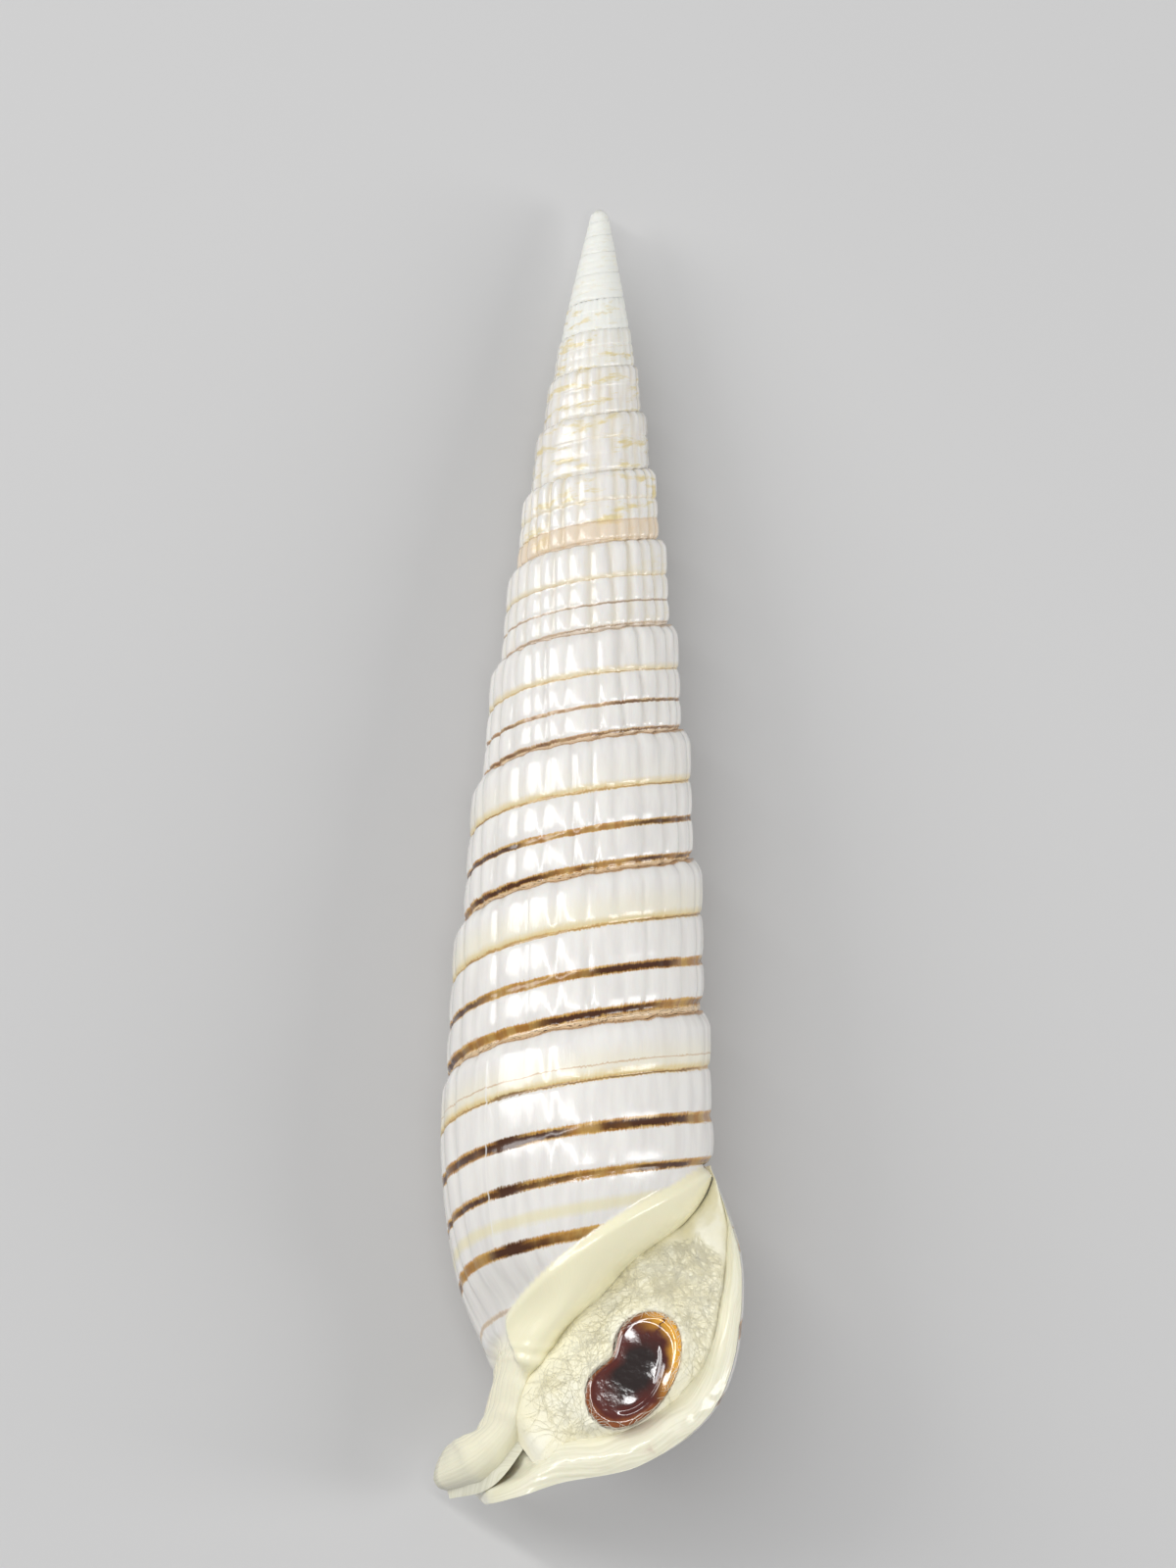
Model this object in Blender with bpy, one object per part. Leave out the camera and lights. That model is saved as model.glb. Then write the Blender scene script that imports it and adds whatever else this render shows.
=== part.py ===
# Banded creeper shell, lying on its back with the mouth up: one coiled shell, the wadding in its
# mouth and the horny lid on the wadding. Metres, +Z up, apex toward +Y, mouth toward +X and up.
#
# Every shape is first worked out in the shell's own millimetres (x to the right, depth below the
# apex along the coiling axis, z to the front), and is then laid down on its resting spots.

import math

import bmesh
import bpy
import numpy as np

MM = 0.001

# Coiling: turns are counted back from the lip, which is turn 0
WHORL_PITCH = 8.8             # height of each of the last two whorls
LIP_SUTURE_DEPTH = 55.3       # where the lip joins the whorl before it
SPIRE_RATIO = 0.817           # each whorl of the spire against the one below it
SPIRE_OFFSET = 3.0
SPIRE_START = -2.0            # turn above which the whorls shrink
FIRST_TURN = -14.5
START_AZIMUTH = math.radians(5.0)

# Girth of the spire: radius at a depth below the apex
TIP_RADIUS = 0.42
TAPER = 0.2166
TAPER_LOSS = 0.00152
WHORL_SIDE_SLOPE = 0.45       # how far a whorl's own side follows the taper
BODY_RADIUS = 7.75

# Relief of a whorl, as shares of its height and in millimetres
SHOULDER_SHARE = 0.11
SHOULDER_DROP = 0.36
FOOT_SHARE = 0.08
FOOT_DROP = 0.10
GROOVE_AT = 0.38
GROOVE_DEPTH = 0.13
RIBS_PER_TURN = 24
RIB_HEIGHT = 0.17
RIB_FIRST_TURN = -9.6
RIB_LAST_TURN = -1.2

# Sampling
COLUMNS_PER_TURN = 48
WHORL_ROWS = (0.0, 0.10, 0.34, 0.38, 0.42, 1.0)
LAST_WHORL_ROWS = (0.0, 0.10, 0.22, 0.34, 0.38, 0.42, 0.52, 0.64, 0.76, 0.88, 1.0)
APEX_ROWS = (0.0, 0.12, 1.0)
APEX_ROWS_END = -9.5
BASE_ROWS = (
    1.0, 1.1, 1.2, 1.3, 1.39, 1.48, 1.57, 1.66, 1.75, 1.83, 1.91, 2.0, 2.05, 2.1, 2.13, 2.16, 2.18,
    2.2,
)

# Last turn, from the start of the mouth (0) round the front (0.25), left (0.5) and back (0.75)
# to the lip (1). Upper lines of the whorl: radius, depth below the suture, lead of the lip in
# degrees. Lower lines, which leave the axis for the canal: x, depth, z.
LAP_KEYS = (0.0, 0.25, 0.5, 0.75, 1.0)
UPPER_LINES = {
    0.5: ((7.62, 4.4, 0), (7.65, 4.4, 0), (7.62, 4.4, 0), (7.90, 4.9, 0), (9.95, 6.6, 10)),
    1.0: ((7.60, 8.8, 0), (7.35, 8.8, 0), (7.06, 8.8, 0), (7.95, 9.8, 0), (8.9, 14.1, 16)),
    1.39: ((6.30, 11.6, 0), (6.30, 12.0, 0), (6.24, 11.9, 0), (7.25, 13.4, 0), (5.49, 17.6, 35)),
}
LOWER_LINES = {
    1.75: ((2.4, 62.0, 2.6), (-0.6, 63.9, 4.6), (-4.88, 65.7, 0.0), (-1.3, 70.8, -4.9),
           (-0.45, 74.0, 3.0)),
    2.0: ((-1.2, 67.6, 1.8), (-2.9, 67.8, 2.9), (-4.25, 67.5, -0.2), (-3.2, 72.3, -3.9),
          (-3.0, 74.8, 2.2)),
    2.1: ((-2.8, 71.9, 1.2), (-3.9, 71.0, 1.7), (-5.2, 70.4, -1.4), (-4.4, 72.7, -4.7),
          (-4.3, 74.95, 0.8)),
    2.16: ((-4.6, 73.5, -1.2), (-5.9, 72.2, -0.7), (-6.2, 70.8, -2.6), (-4.9, 72.1, -5.4),
           (-4.7, 74.5, -2.2)),
    2.2: ((-6.75, 73.5, -4.9), (-7.55, 72.5, -4.25), (-6.75, 70.9, -4.9), (-5.2, 71.5, -6.0),
          (-5.5, 73.3, -5.8)),
}
MOUTH_BACK_KEY = -0.25        # the hidden lap behind the mouth repeats the first key, turned back
MOUTH_BACK_RISE = 2.2

# Mouth: thickness of the lip, how far the hollow goes back, and the callus pad
LIP_THICKNESS = 1.7
LIP_BULGE = 0.25
HOLLOW_TURN = 0.09
HOLLOW_FULL_GAP = 9.0
WALL_LEAD = 1.6
FIRST_STATION = 3
WALL_TURNS_TO = 1.6
WALL_SINKS_FROM = 1.95
CANAL_FROM = 1.85
CANAL_TO = 2.1
CANAL_BORE = (
    (0.93, 0.68), (0.84, 0.58), (0.72, 0.54), (0.58, 0.52), (0.44, 0.52), (0.3, 0.54), (0.15, 0.6),
)
PAD_HEIGHT = 0.45
PAD_EDGE_WIDTH = 0.7
PAD_OUTLINE = (
    (7.9, 55.3), (5.3, 57.2), (2.0, 59.4), (-1.5, 62.1), (-3.45, 64.1), (-3.7, 65.0),
    (-3.3, 66.4), (-2.4, 67.9), (0.5, 68.5), (4.5, 66.0), (8.5, 58.0),
)

# Wadding and lid
WADDING_GAPS = (0.6, 1.0, 1.2, 1.3, 0.8)
WADDING_MOST_DRAWN = 0.5
WADDING_LIP_GAP = 0.5
WADDING_WALL_GAP = 0.8
WADDING_DOME = 0.7
WADDING_TOP_POINTS = 5
WADDING_ROWS = (0.42, 0.52, 0.64, 0.76, 0.88, 1.0, 1.1, 1.2, 1.3, 1.39, 1.48, 1.57, 1.66, 1.75, 1.83)
LID_CENTRE = (3.6, 67.6)
LID_FRONT = 4.35
LID_LENGTH = 7.2
LID_WIDTH = 4.6
LID_THICKNESS = 0.9
LID_DOME = 0.35
LID_BEARING = math.radians(60.0)
LID_NOTCH = 0.42
LID_NOTCH_WIDTH = 1.3
LID_SIDES = 32
LID_GAP = 0.3

# How the shell lies: the apex end sinks by this angle, and the resting spots are this deep
REST_PITCH = math.radians(4.6)
REST_HEIGHT = 3.3
MIDDLE_X = 1.045
MIDDLE_DEPTH = 37.322

SHELL_COLOUR = (0.87, 0.83, 0.74, 1.0)
WADDING_COLOUR = (0.86, 0.84, 0.74, 1.0)
LID_COLOUR = (0.13, 0.025, 0.008, 1.0)


def smooth_step(low, high, value):
    share = np.clip((value - low) / (high - low), 0.0, 1.0)
    return share * share * (3.0 - 2.0 * share)


def spline(knots, values, at):
    """Cubic through the values, with slopes taken from the neighbours."""
    knots = np.asarray(knots, dtype=float)
    values = np.asarray(values, dtype=float)
    slopes = np.gradient(values, knots, axis=0)
    at = float(np.clip(at, knots[0], knots[-1]))
    cell = int(np.clip(np.searchsorted(knots, at) - 1, 0, len(knots) - 2))
    width = knots[cell + 1] - knots[cell]
    s = (at - knots[cell]) / width
    return (
        values[cell] * (1 + 2 * s) * (1 - s) ** 2
        + slopes[cell] * width * s * (1 - s) ** 2
        + values[cell + 1] * s * s * (3 - 2 * s)
        + slopes[cell + 1] * width * s * s * (s - 1)
    )


def suture_depth(turn):
    """Depth of the suture above the whorl of this turn."""
    start_depth = LIP_SUTURE_DEPTH + WHORL_PITCH * SPIRE_START
    if turn >= SPIRE_START:
        return start_depth + WHORL_PITCH * (turn - SPIRE_START)
    reach = (start_depth + SPIRE_OFFSET) * SPIRE_RATIO ** (SPIRE_START - turn)
    return max(reach - SPIRE_OFFSET, 0.0)


def girth(depth):
    return min(TIP_RADIUS + TAPER * depth - TAPER_LOSS * depth * depth, BODY_RADIUS)


def whorl_side(turn, share):
    """Radius and depth on a whorl's plain side, without its relief."""
    top = suture_depth(turn)
    bottom = suture_depth(turn + 1)
    depth = top + (bottom - top) * share
    middle = 0.5 * (top + bottom)
    return girth(middle + WHORL_SIDE_SLOPE * (depth - middle)), depth


def on_axis(radius, depth, azimuth):
    return np.array((radius * math.cos(azimuth), depth, radius * math.sin(azimuth)))


def azimuth_of(turn):
    return 2.0 * math.pi * turn + START_AZIMUTH


def control_line(row, lap):
    """One line along the last turn, at a share of its lap."""
    turn = lap - 1.0
    if row in UPPER_LINES:
        radius, drop, lead = spline(LAP_KEYS, UPPER_LINES[row], lap)
        depth = suture_depth(turn) + drop
        if row <= 1.0:
            plain_radius, plain_depth = whorl_side(turn, row)
            share = float(smooth_step(0.0, 0.3, lap))
            radius = plain_radius + (radius - plain_radius) * share
            depth = plain_depth + (depth - plain_depth) * share
        return on_axis(radius, depth, azimuth_of(turn) + math.radians(lead))
    return spline(LAP_KEYS, LOWER_LINES[row], lap)


def control_points(lap):
    turn = lap - 1.0
    radius, depth = whorl_side(turn, 0.0)
    points = [(0.0, on_axis(radius, depth, azimuth_of(turn)))]
    for row in list(UPPER_LINES) + list(LOWER_LINES):
        points.append((row, control_line(row, lap)))
    return points


def last_turn(lap, row):
    """Point on the last turn's outside; behind the mouth the first column is turned back."""
    if lap < 0.0:
        point = last_turn(0.0, row)
        back = 2.0 * math.pi * lap
        c, s = math.cos(back), math.sin(back)
        rise = MOUTH_BACK_RISE * lap / -MOUTH_BACK_KEY
        return np.array((c * point[0] - s * point[2], point[1] + rise, s * point[0] + c * point[2]))
    rows, points = zip(*control_points(lap))
    return spline(rows, points, row)


def relief(turn, share):
    """Height of shoulder, foot, groove and ribs over a whorl's plain side."""
    top, bottom = suture_depth(turn), suture_depth(turn + 1)
    size = min((bottom - top) / WHORL_PITCH, 1.0)
    height = -SHOULDER_DROP * size * (1.0 - min(share / SHOULDER_SHARE, 1.0)) ** 2
    foot_fade = 1.0 - float(smooth_step(-1.0, -0.85, turn))
    height -= FOOT_DROP * size * foot_fade * max((share - 1.0 + FOOT_SHARE) / FOOT_SHARE, 0.0) ** 2
    if abs(share - GROOVE_AT) < 0.01:
        height -= GROOVE_DEPTH * size * (1.0 - float(smooth_step(-0.5, -0.2, turn)))
    rib_fade = float(smooth_step(RIB_FIRST_TURN - 0.6, RIB_FIRST_TURN, turn))
    rib_fade *= 1.0 - float(smooth_step(RIB_LAST_TURN - 1.6, RIB_LAST_TURN, turn))
    edge_fade = min(share / 0.1, (1.0 - share) / 0.1, 1.0)
    wave = math.cos(2.0 * math.pi * RIBS_PER_TURN * turn)
    return height + RIB_HEIGHT * (0.55 + 0.45 * size) * rib_fade * max(edge_fade, 0.0) * wave


def outline_distance(x, depth):
    """Distance inside the callus outline, in millimetres, negative outside."""
    inside = False
    nearest = 1e9
    count = len(PAD_OUTLINE)
    for index in range(count):
        ax, ay = PAD_OUTLINE[index]
        bx, by = PAD_OUTLINE[(index + 1) % count]
        if (ay > depth) != (by > depth) and x < ax + (bx - ax) * (depth - ay) / (by - ay):
            inside = not inside
        along = ((x - ax) * (bx - ax) + (depth - ay) * (by - ay)) / ((bx - ax) ** 2 + (by - ay) ** 2)
        along = min(max(along, 0.0), 1.0)
        nearest = min(nearest, math.hypot(ax + along * (bx - ax) - x, ay + along * (by - ay) - depth))
    return nearest if inside else -nearest


def outside(turn, row):
    """Point on the finished outside of the shell."""
    lap = turn + 1.0
    if lap <= 0.0 and row <= 1.0:
        radius, depth = whorl_side(turn, row)
        return on_axis(radius + relief(turn, row), depth, azimuth_of(turn))
    point = last_turn(lap, row)
    middle = np.array((0.0, point[1], 0.0))
    if row < 1.0:
        outward = (point - middle) / np.linalg.norm(point - middle)
        return point + outward * relief(turn, row)
    if point[2] > 0.0 and lap < 0.5:
        inside = outline_distance(point[0], point[1])
        lift = PAD_HEIGHT * float(smooth_step(0.0, PAD_EDGE_WIDTH, inside))
        outward = (point - middle) / np.linalg.norm(point - middle)
        return point + outward * lift
    return point


def laid_down(point):
    """From the shell's own millimetres to metres as it lies; resting spots are pressed flat."""
    x, depth, z = (float(value) for value in point)
    y = -depth
    c, s = math.cos(REST_PITCH), math.sin(REST_PITCH)
    y, z = c * y + s * z, -s * y + c * z
    place = np.array((x - MIDDLE_X, y + MIDDLE_DEPTH, z + REST_HEIGHT))
    place[2] = max(place[2], 0.0)
    return place * MM


class Skin:
    """Collects the points and faces of one closed body."""

    def __init__(self):
        self.points = []
        self.faces = []

    def add(self, point):
        self.points.append(np.asarray(point, dtype=float))
        return len(self.points) - 1

    def face(self, *corners):
        kept = []
        for corner in corners:
            if corner not in kept:
                kept.append(corner)
        if len(kept) > 2:
            self.faces.append(kept)

    def zip_rows(self, left, right, left_at, right_at):
        """Fills between two rows of points, each with its own places along the seam."""
        i = j = 0
        while i < len(left) - 1 or j < len(right) - 1:
            left_next = left_at[i + 1] if i < len(left) - 1 else math.inf
            right_next = right_at[j + 1] if j < len(right) - 1 else math.inf
            if left_next <= right_next:
                self.face(left[i], right[j], left[i + 1])
                i += 1
            else:
                self.face(left[i], right[j], right[j + 1])
                j += 1


def wall_row_at(share):
    """The line behind the mouth that a share of the way down the lip looks across to."""
    return 1.0 + (BASE_ROWS[-1] - 1.0) * (1.0 - (1.0 - share) ** WALL_LEAD)


def mouth_section(lip_row, wall_row):
    """Inside of the mouth across one station, from the lip to the wall behind the whorl."""
    lip = outside(0.0, lip_row)
    wall = outside(-1.0, wall_row)
    gap = np.linalg.norm(wall - lip)
    inward = (wall - lip) / gap
    thickness = min(LIP_THICKNESS, 0.30 * gap)
    back = HOLLOW_TURN * min(1.0, gap / HOLLOW_FULL_GAP)
    half_way = outside(-0.5 * back, lip_row) + inward * thickness * 1.1
    far = outside(-back, lip_row) + inward * thickness * 1.3
    sunk = far - lip - inward * thickness
    leave = float(smooth_step(WALL_TURNS_TO, WALL_SINKS_FROM, wall_row))
    turned_half = last_turn(-0.5 * back, wall_row)
    turned_far = last_turn(-back, wall_row)
    wall_half = turned_half + (wall + 0.5 * sunk - turned_half) * leave - inward * 0.08 * gap
    wall_far = turned_far + (wall + sunk - turned_far) * leave - inward * 0.05 * gap
    return [
        lip + inward * thickness * 0.5 + np.array((0.0, 0.0, LIP_BULGE * thickness)),
        lip + inward * thickness,
        half_way,
        far,
        0.5 * (far + wall_far) + sunk * 0.15,
        wall_far,
        wall_half,
    ]


def canal_section(lip_row, wall_row):
    """Inside of the canal: the outside's own loop, drawn in toward its middle."""
    def loop_point(lap):
        return last_turn(lap, lip_row + (wall_row - lip_row) * (1.0 - lap))

    middle = np.mean([loop_point(lap) for lap in LAP_KEYS], axis=0)
    return [middle + (loop_point(lap) - middle) * share for lap, share in CANAL_BORE]


def hollow_section(lip_row, wall_row):
    share = float(smooth_step(CANAL_FROM, CANAL_TO, lip_row))
    mouth = mouth_section(lip_row, wall_row)
    canal = canal_section(lip_row, wall_row)
    return [m + (c - m) * share for m, c in zip(mouth, canal)]


def build_shell():
    skin = Skin()
    column_count = int(round(-FIRST_TURN * COLUMNS_PER_TURN))
    turns = [FIRST_TURN + index / COLUMNS_PER_TURN for index in range(column_count + 1)]
    turns[-1] = 0.0
    lip_column = column_count
    mouth_column = lip_column - COLUMNS_PER_TURN
    columns = {}

    def rows_of(column):
        if column >= mouth_column:
            return LAST_WHORL_ROWS
        return APEX_ROWS if turns[column] < APEX_ROWS_END else WHORL_ROWS

    def column_points(column):
        """Point numbers down one column; its last row is the first row one turn on."""
        if column not in columns:
            turn = turns[column]
            numbers = [skin.add(outside(turn, row)) for row in rows_of(column)[:-1]]
            columns[column] = numbers
        return columns[column]

    def full_column(column):
        numbers = list(column_points(column))
        if column <= mouth_column:
            numbers.append(column_points(column + COLUMNS_PER_TURN)[0])
        else:
            numbers.append(skin.add(outside(turns[column], 1.0)))
        return numbers

    whole = {column: full_column(column) for column in range(column_count + 1)}
    for column in range(column_count):
        left, right = whole[column], whole[column + 1]
        if len(left) == len(right):
            for row in range(len(left) - 1):
                skin.face(left[row], left[row + 1], right[row + 1], right[row])
        else:
            skin.zip_rows(right, left, rows_of(column + 1), rows_of(column))

    base = {}
    for column in range(mouth_column, lip_column + 1):
        numbers = [whole[column][-1]]
        numbers += [skin.add(outside(turns[column], row)) for row in BASE_ROWS[1:]]
        base[column] = numbers
    for column in range(mouth_column, lip_column):
        left, right = base[column], base[column + 1]
        for row in range(len(left) - 1):
            skin.face(left[row], left[row + 1], right[row + 1], right[row])

    tip = skin.add((0.0, 0.0, 0.0))
    first_lap = [columns[column][0] for column in range(COLUMNS_PER_TURN + 1)]
    for here, after in zip(first_lap, first_lap[1:]):
        skin.face(tip, here, after)
    start = whole[0]
    for above, below in zip(start, start[1:]):
        skin.face(tip, below, above)

    lip_numbers = whole[lip_column] + base[lip_column][1:]
    lip_rows = list(LAST_WHORL_ROWS) + list(BASE_ROWS[1:])
    wall_numbers = base[mouth_column]
    wall_rows = list(BASE_ROWS)
    stations = len(lip_numbers) - 1
    corner = lip_numbers[0]
    before = [corner]
    wall_before = 0
    for here, after in zip(lip_numbers[:FIRST_STATION], lip_numbers[1:FIRST_STATION + 1]):
        skin.face(corner, here, after)
    for station in range(FIRST_STATION, stations + 1):
        share = station / stations
        wall_row = wall_row_at(share)
        wall_index = int(np.argmin([abs(row - wall_row) for row in wall_rows]))
        inner = hollow_section(lip_rows[station], wall_rows[wall_index])
        ring = [lip_numbers[station]]
        ring += [skin.add(point) for point in inner]
        ring.append(wall_numbers[wall_index])
        if station == FIRST_STATION:
            for here, after in zip(ring[:-1], ring[1:-1]):
                skin.face(corner, here, after)
        else:
            for index in range(len(ring) - 2):
                skin.face(before[index], ring[index], ring[index + 1], before[index + 1])
            skin.face(before[-2], ring[-2], wall_numbers[wall_before])
        for step in range(wall_before, wall_index):
            skin.face(ring[-2], wall_numbers[step + 1], wall_numbers[step])
        before = ring
        wall_before = wall_index

    rim = [base[column][-1] for column in range(mouth_column, lip_column + 1)]
    rim_at = [index / COLUMNS_PER_TURN for index in range(COLUMNS_PER_TURN + 1)]
    bore_at = [0.0, 0.0] + [1.0 - lap for lap, _ in CANAL_BORE[1:]] + [1.0]
    skin.zip_rows(rim[::-1], before, rim_at, bore_at)
    return skin


def build_wadding():
    """A plug that keeps clear of the hollow all round and swells a little above the lip's edge."""
    skin = Skin()
    lip_rows = list(LAST_WHORL_ROWS) + list(BASE_ROWS[1:])
    rings = []
    for lip_row in WADDING_ROWS:
        share = lip_rows.index(lip_row) / (len(lip_rows) - 1)
        wall_row = min(BASE_ROWS, key=lambda row: abs(row - wall_row_at(share)))
        inner = hollow_section(lip_row, wall_row)
        wall = outside(-1.0, wall_row)
        middle = np.mean(inner[1:] + [wall], axis=0)
        low_side = []
        for point, gap in zip(inner[2:], WADDING_GAPS):
            toward = middle - point
            share = min(gap / np.linalg.norm(toward), WADDING_MOST_DRAWN)
            low_side.append(point + toward * share)
        across = wall - inner[1]
        across /= np.linalg.norm(across)
        lip_edge = inner[1] + across * WADDING_LIP_GAP
        wall_edge = wall - across * WADDING_WALL_GAP
        top = []
        for index in range(WADDING_TOP_POINTS):
            part = index / (WADDING_TOP_POINTS - 1)
            rise = WADDING_DOME * 4.0 * part * (1.0 - part)
            top.append(wall_edge + (lip_edge - wall_edge) * part + np.array((0.0, 0.0, rise)))
        rings.append([skin.add(point) for point in low_side + top])
    for before, after in zip(rings, rings[1:]):
        count = len(before)
        for index in range(count):
            following = (index + 1) % count
            skin.face(before[index], after[index], after[following], before[following])
    for ring in (rings[0], rings[-1]):
        middle = skin.add(np.mean([skin.points[number] for number in ring], axis=0))
        for index, number in enumerate(ring):
            skin.face(middle, number, ring[(index + 1) % len(ring)])
    return skin


def lid_outline(grow):
    """Kidney outline of the lid, across its own length and width."""
    points = []
    for index in range(LID_SIDES):
        angle = 2.0 * math.pi * index / LID_SIDES
        along = (0.5 * LID_LENGTH + grow) * math.cos(angle)
        across = (0.5 * LID_WIDTH + grow) * math.sin(angle)
        if across > 0.0:
            across *= 1.0 - LID_NOTCH * math.exp(-((along / LID_NOTCH_WIDTH) ** 2))
            across += grow * LID_NOTCH * math.exp(-((along / LID_NOTCH_WIDTH) ** 2))
        points.append((along, across))
    return points


def build_lid(grow, bottom, top, dome):
    """The lid, or with growth the pocket it needs in the wadding."""
    skin = Skin()
    c, s = math.cos(LID_BEARING), math.sin(LID_BEARING)

    def ring(size, front):
        numbers = []
        for along, across in lid_outline(grow):
            x = LID_CENTRE[0] + (c * along - s * across) * size
            depth = LID_CENTRE[1] - (s * along + c * across) * size
            numbers.append(skin.add((x, depth, LID_FRONT + front)))
        return numbers

    rings = [ring(0.5, bottom), ring(0.94, bottom), ring(1.0, bottom + 0.2), ring(1.0, top - 0.2)]
    rings += [ring(0.93, top), ring(0.45, top + dome)]
    for before, after in zip(rings, rings[1:]):
        for index in range(LID_SIDES):
            following = (index + 1) % LID_SIDES
            skin.face(before[index], before[following], after[following], after[index])
    for last, height in ((rings[0], bottom), (rings[-1], top + dome)):
        middle = skin.add((LID_CENTRE[0], LID_CENTRE[1], LID_FRONT + height))
        for index, number in enumerate(last):
            skin.face(middle, number, last[(index + 1) % LID_SIDES])
    return skin


def finish_mesh(name, skin, colour, roughness):
    mesh = bpy.data.meshes.new(name)
    laid = [laid_down(point) for point in skin.points]
    mesh.from_pydata([tuple(point) for point in laid], [], skin.faces)
    body = bmesh.new()
    body.from_mesh(mesh)
    bmesh.ops.remove_doubles(body, verts=body.verts, dist=1e-6)
    bmesh.ops.dissolve_degenerate(body, edges=body.edges, dist=1e-6)
    bmesh.ops.triangulate(body, faces=body.faces)
    bmesh.ops.recalc_face_normals(body, faces=body.faces)
    body.to_mesh(mesh)
    body.free()
    mesh.shade_smooth()
    material = bpy.data.materials.new(name)
    material.use_nodes = True
    shader = material.node_tree.nodes["Principled BSDF"]
    shader.inputs["Base Color"].default_value = colour
    shader.inputs["Roughness"].default_value = roughness
    mesh.materials.append(material)
    thing = bpy.data.objects.new(name, mesh)
    bpy.context.scene.collection.objects.link(thing)
    return thing


def cut_pocket(wadding, pocket):
    cut = wadding.modifiers.new("pocket", "BOOLEAN")
    cut.operation = "DIFFERENCE"
    cut.solver = "EXACT"
    cut.object = pocket
    pocket.hide_render = True
    pocket.display_type = "WIRE"


def main():
    for thing in list(bpy.data.objects):
        bpy.data.objects.remove(thing)
    finish_mesh("shell", build_shell(), SHELL_COLOUR, 0.3)
    wadding = finish_mesh("cotton_wadding", build_wadding(), WADDING_COLOUR, 0.95)
    lid = build_lid(0.0, -LID_THICKNESS, 0.0, LID_DOME)
    finish_mesh("operculum", lid, LID_COLOUR, 0.15)
    pocket = build_lid(LID_GAP, -LID_THICKNESS - LID_GAP, 3.0, 0.0)
    cut_pocket(wadding, finish_mesh("lid_pocket", pocket, LID_COLOUR, 0.5))


main()
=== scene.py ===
# %% [markdown]
# # A banded creeper shell, dressed for its portrait
# A creeper is a sea snail that adds to its shell at the lip, turn after turn, for years. What is
# left is a tall spire of some fourteen whorls, white as porcelain, ribbed near the top and smooth
# near the mouth, with brown threads wound round it. This one lies on its back, so the mouth looks
# up. Collectors pack the mouth with cotton and lay the snail's own horny lid on it.
#
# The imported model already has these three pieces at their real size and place. This lesson makes
# the finely detailed surfaces that stand for them. Lengths are in the shell's own millimetres
# until the very end: x to the right, depth below the tip along the axis, and z toward the viewer.

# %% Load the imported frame
import math

import bmesh
import bpy
import numpy as np
from mathutils import Matrix, Vector
from mathutils.bvhtree import BVHTree


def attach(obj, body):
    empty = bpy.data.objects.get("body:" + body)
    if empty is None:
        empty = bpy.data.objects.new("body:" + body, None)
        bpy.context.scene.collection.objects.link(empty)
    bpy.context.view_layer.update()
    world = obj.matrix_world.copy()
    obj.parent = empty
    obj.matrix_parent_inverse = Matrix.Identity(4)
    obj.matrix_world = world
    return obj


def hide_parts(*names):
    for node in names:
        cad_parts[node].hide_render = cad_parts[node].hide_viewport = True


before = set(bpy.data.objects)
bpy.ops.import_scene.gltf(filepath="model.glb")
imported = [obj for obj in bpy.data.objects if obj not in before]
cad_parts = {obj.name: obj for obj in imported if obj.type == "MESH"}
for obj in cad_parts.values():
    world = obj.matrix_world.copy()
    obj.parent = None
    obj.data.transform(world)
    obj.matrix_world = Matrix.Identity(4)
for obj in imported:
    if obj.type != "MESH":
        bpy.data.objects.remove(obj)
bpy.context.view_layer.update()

# %% [markdown]
# ## The spiral that the shell grew along
# Every point of the outside has two numbers. The *turn* counts backwards from the lip, which is
# turn 0, so turn -3 is three times round toward the tip. The *row* runs across one whorl, from 0
# at the seam above it to 1 at the seam below, and on to 2.2 round the base to the end of the
# canal. The seam's depth at every turn fixes the whole spire: the last two whorls are equally
# tall and the older ones shrink by the same share each time. The oldest whorls are worn down to a
# plain cone, and each later one stands out from it with a steeper side.

# %% Depth of the seam and girth of the spire
WHORL_PITCH = 8.8
LIP_SEAM_DEPTH = 55.3
SPIRE_START = -2.0
SPIRE_RATIO = 0.817
SPIRE_OFFSET = 3.0
START_AZIMUTH = math.radians(5.0)
TIP_RADIUS = 0.42
TAPER = 0.2166
TAPER_LOSS = 0.00152
BODY_RADIUS = 7.75
WHORL_SIDE_SLOPE = 0.45
WORN_TURNS = (-10.0, -8.0)


def seam_depth(turn):
    start = LIP_SEAM_DEPTH + WHORL_PITCH * SPIRE_START
    reach = (start + SPIRE_OFFSET) * SPIRE_RATIO ** (SPIRE_START - turn)
    return np.where(turn >= SPIRE_START, start + WHORL_PITCH * (turn - SPIRE_START),
                    np.maximum(reach - SPIRE_OFFSET, 0.0))


def girth(depth):
    return np.minimum(TIP_RADIUS + TAPER * depth - TAPER_LOSS * depth * depth, BODY_RADIUS)


def whorl_side(turn, share):
    """Radius and depth on a whorl's plain side."""
    top, bottom = seam_depth(turn), seam_depth(turn + 1.0)
    depth = top + (bottom - top) * share
    middle = 0.5 * (top + bottom)
    slope = np.interp(turn, WORN_TURNS, (1.0, WHORL_SIDE_SLOPE))
    return girth(middle + slope * (depth - middle)), depth


def on_axis(radius, depth, azimuth):
    return np.stack(np.broadcast_arrays(radius * np.cos(azimuth), depth, radius * np.sin(azimuth)), -1)


print("seams above the last five whorls, mm:", np.round(seam_depth(np.arange(-4.0, 1.0)), 1))

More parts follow.
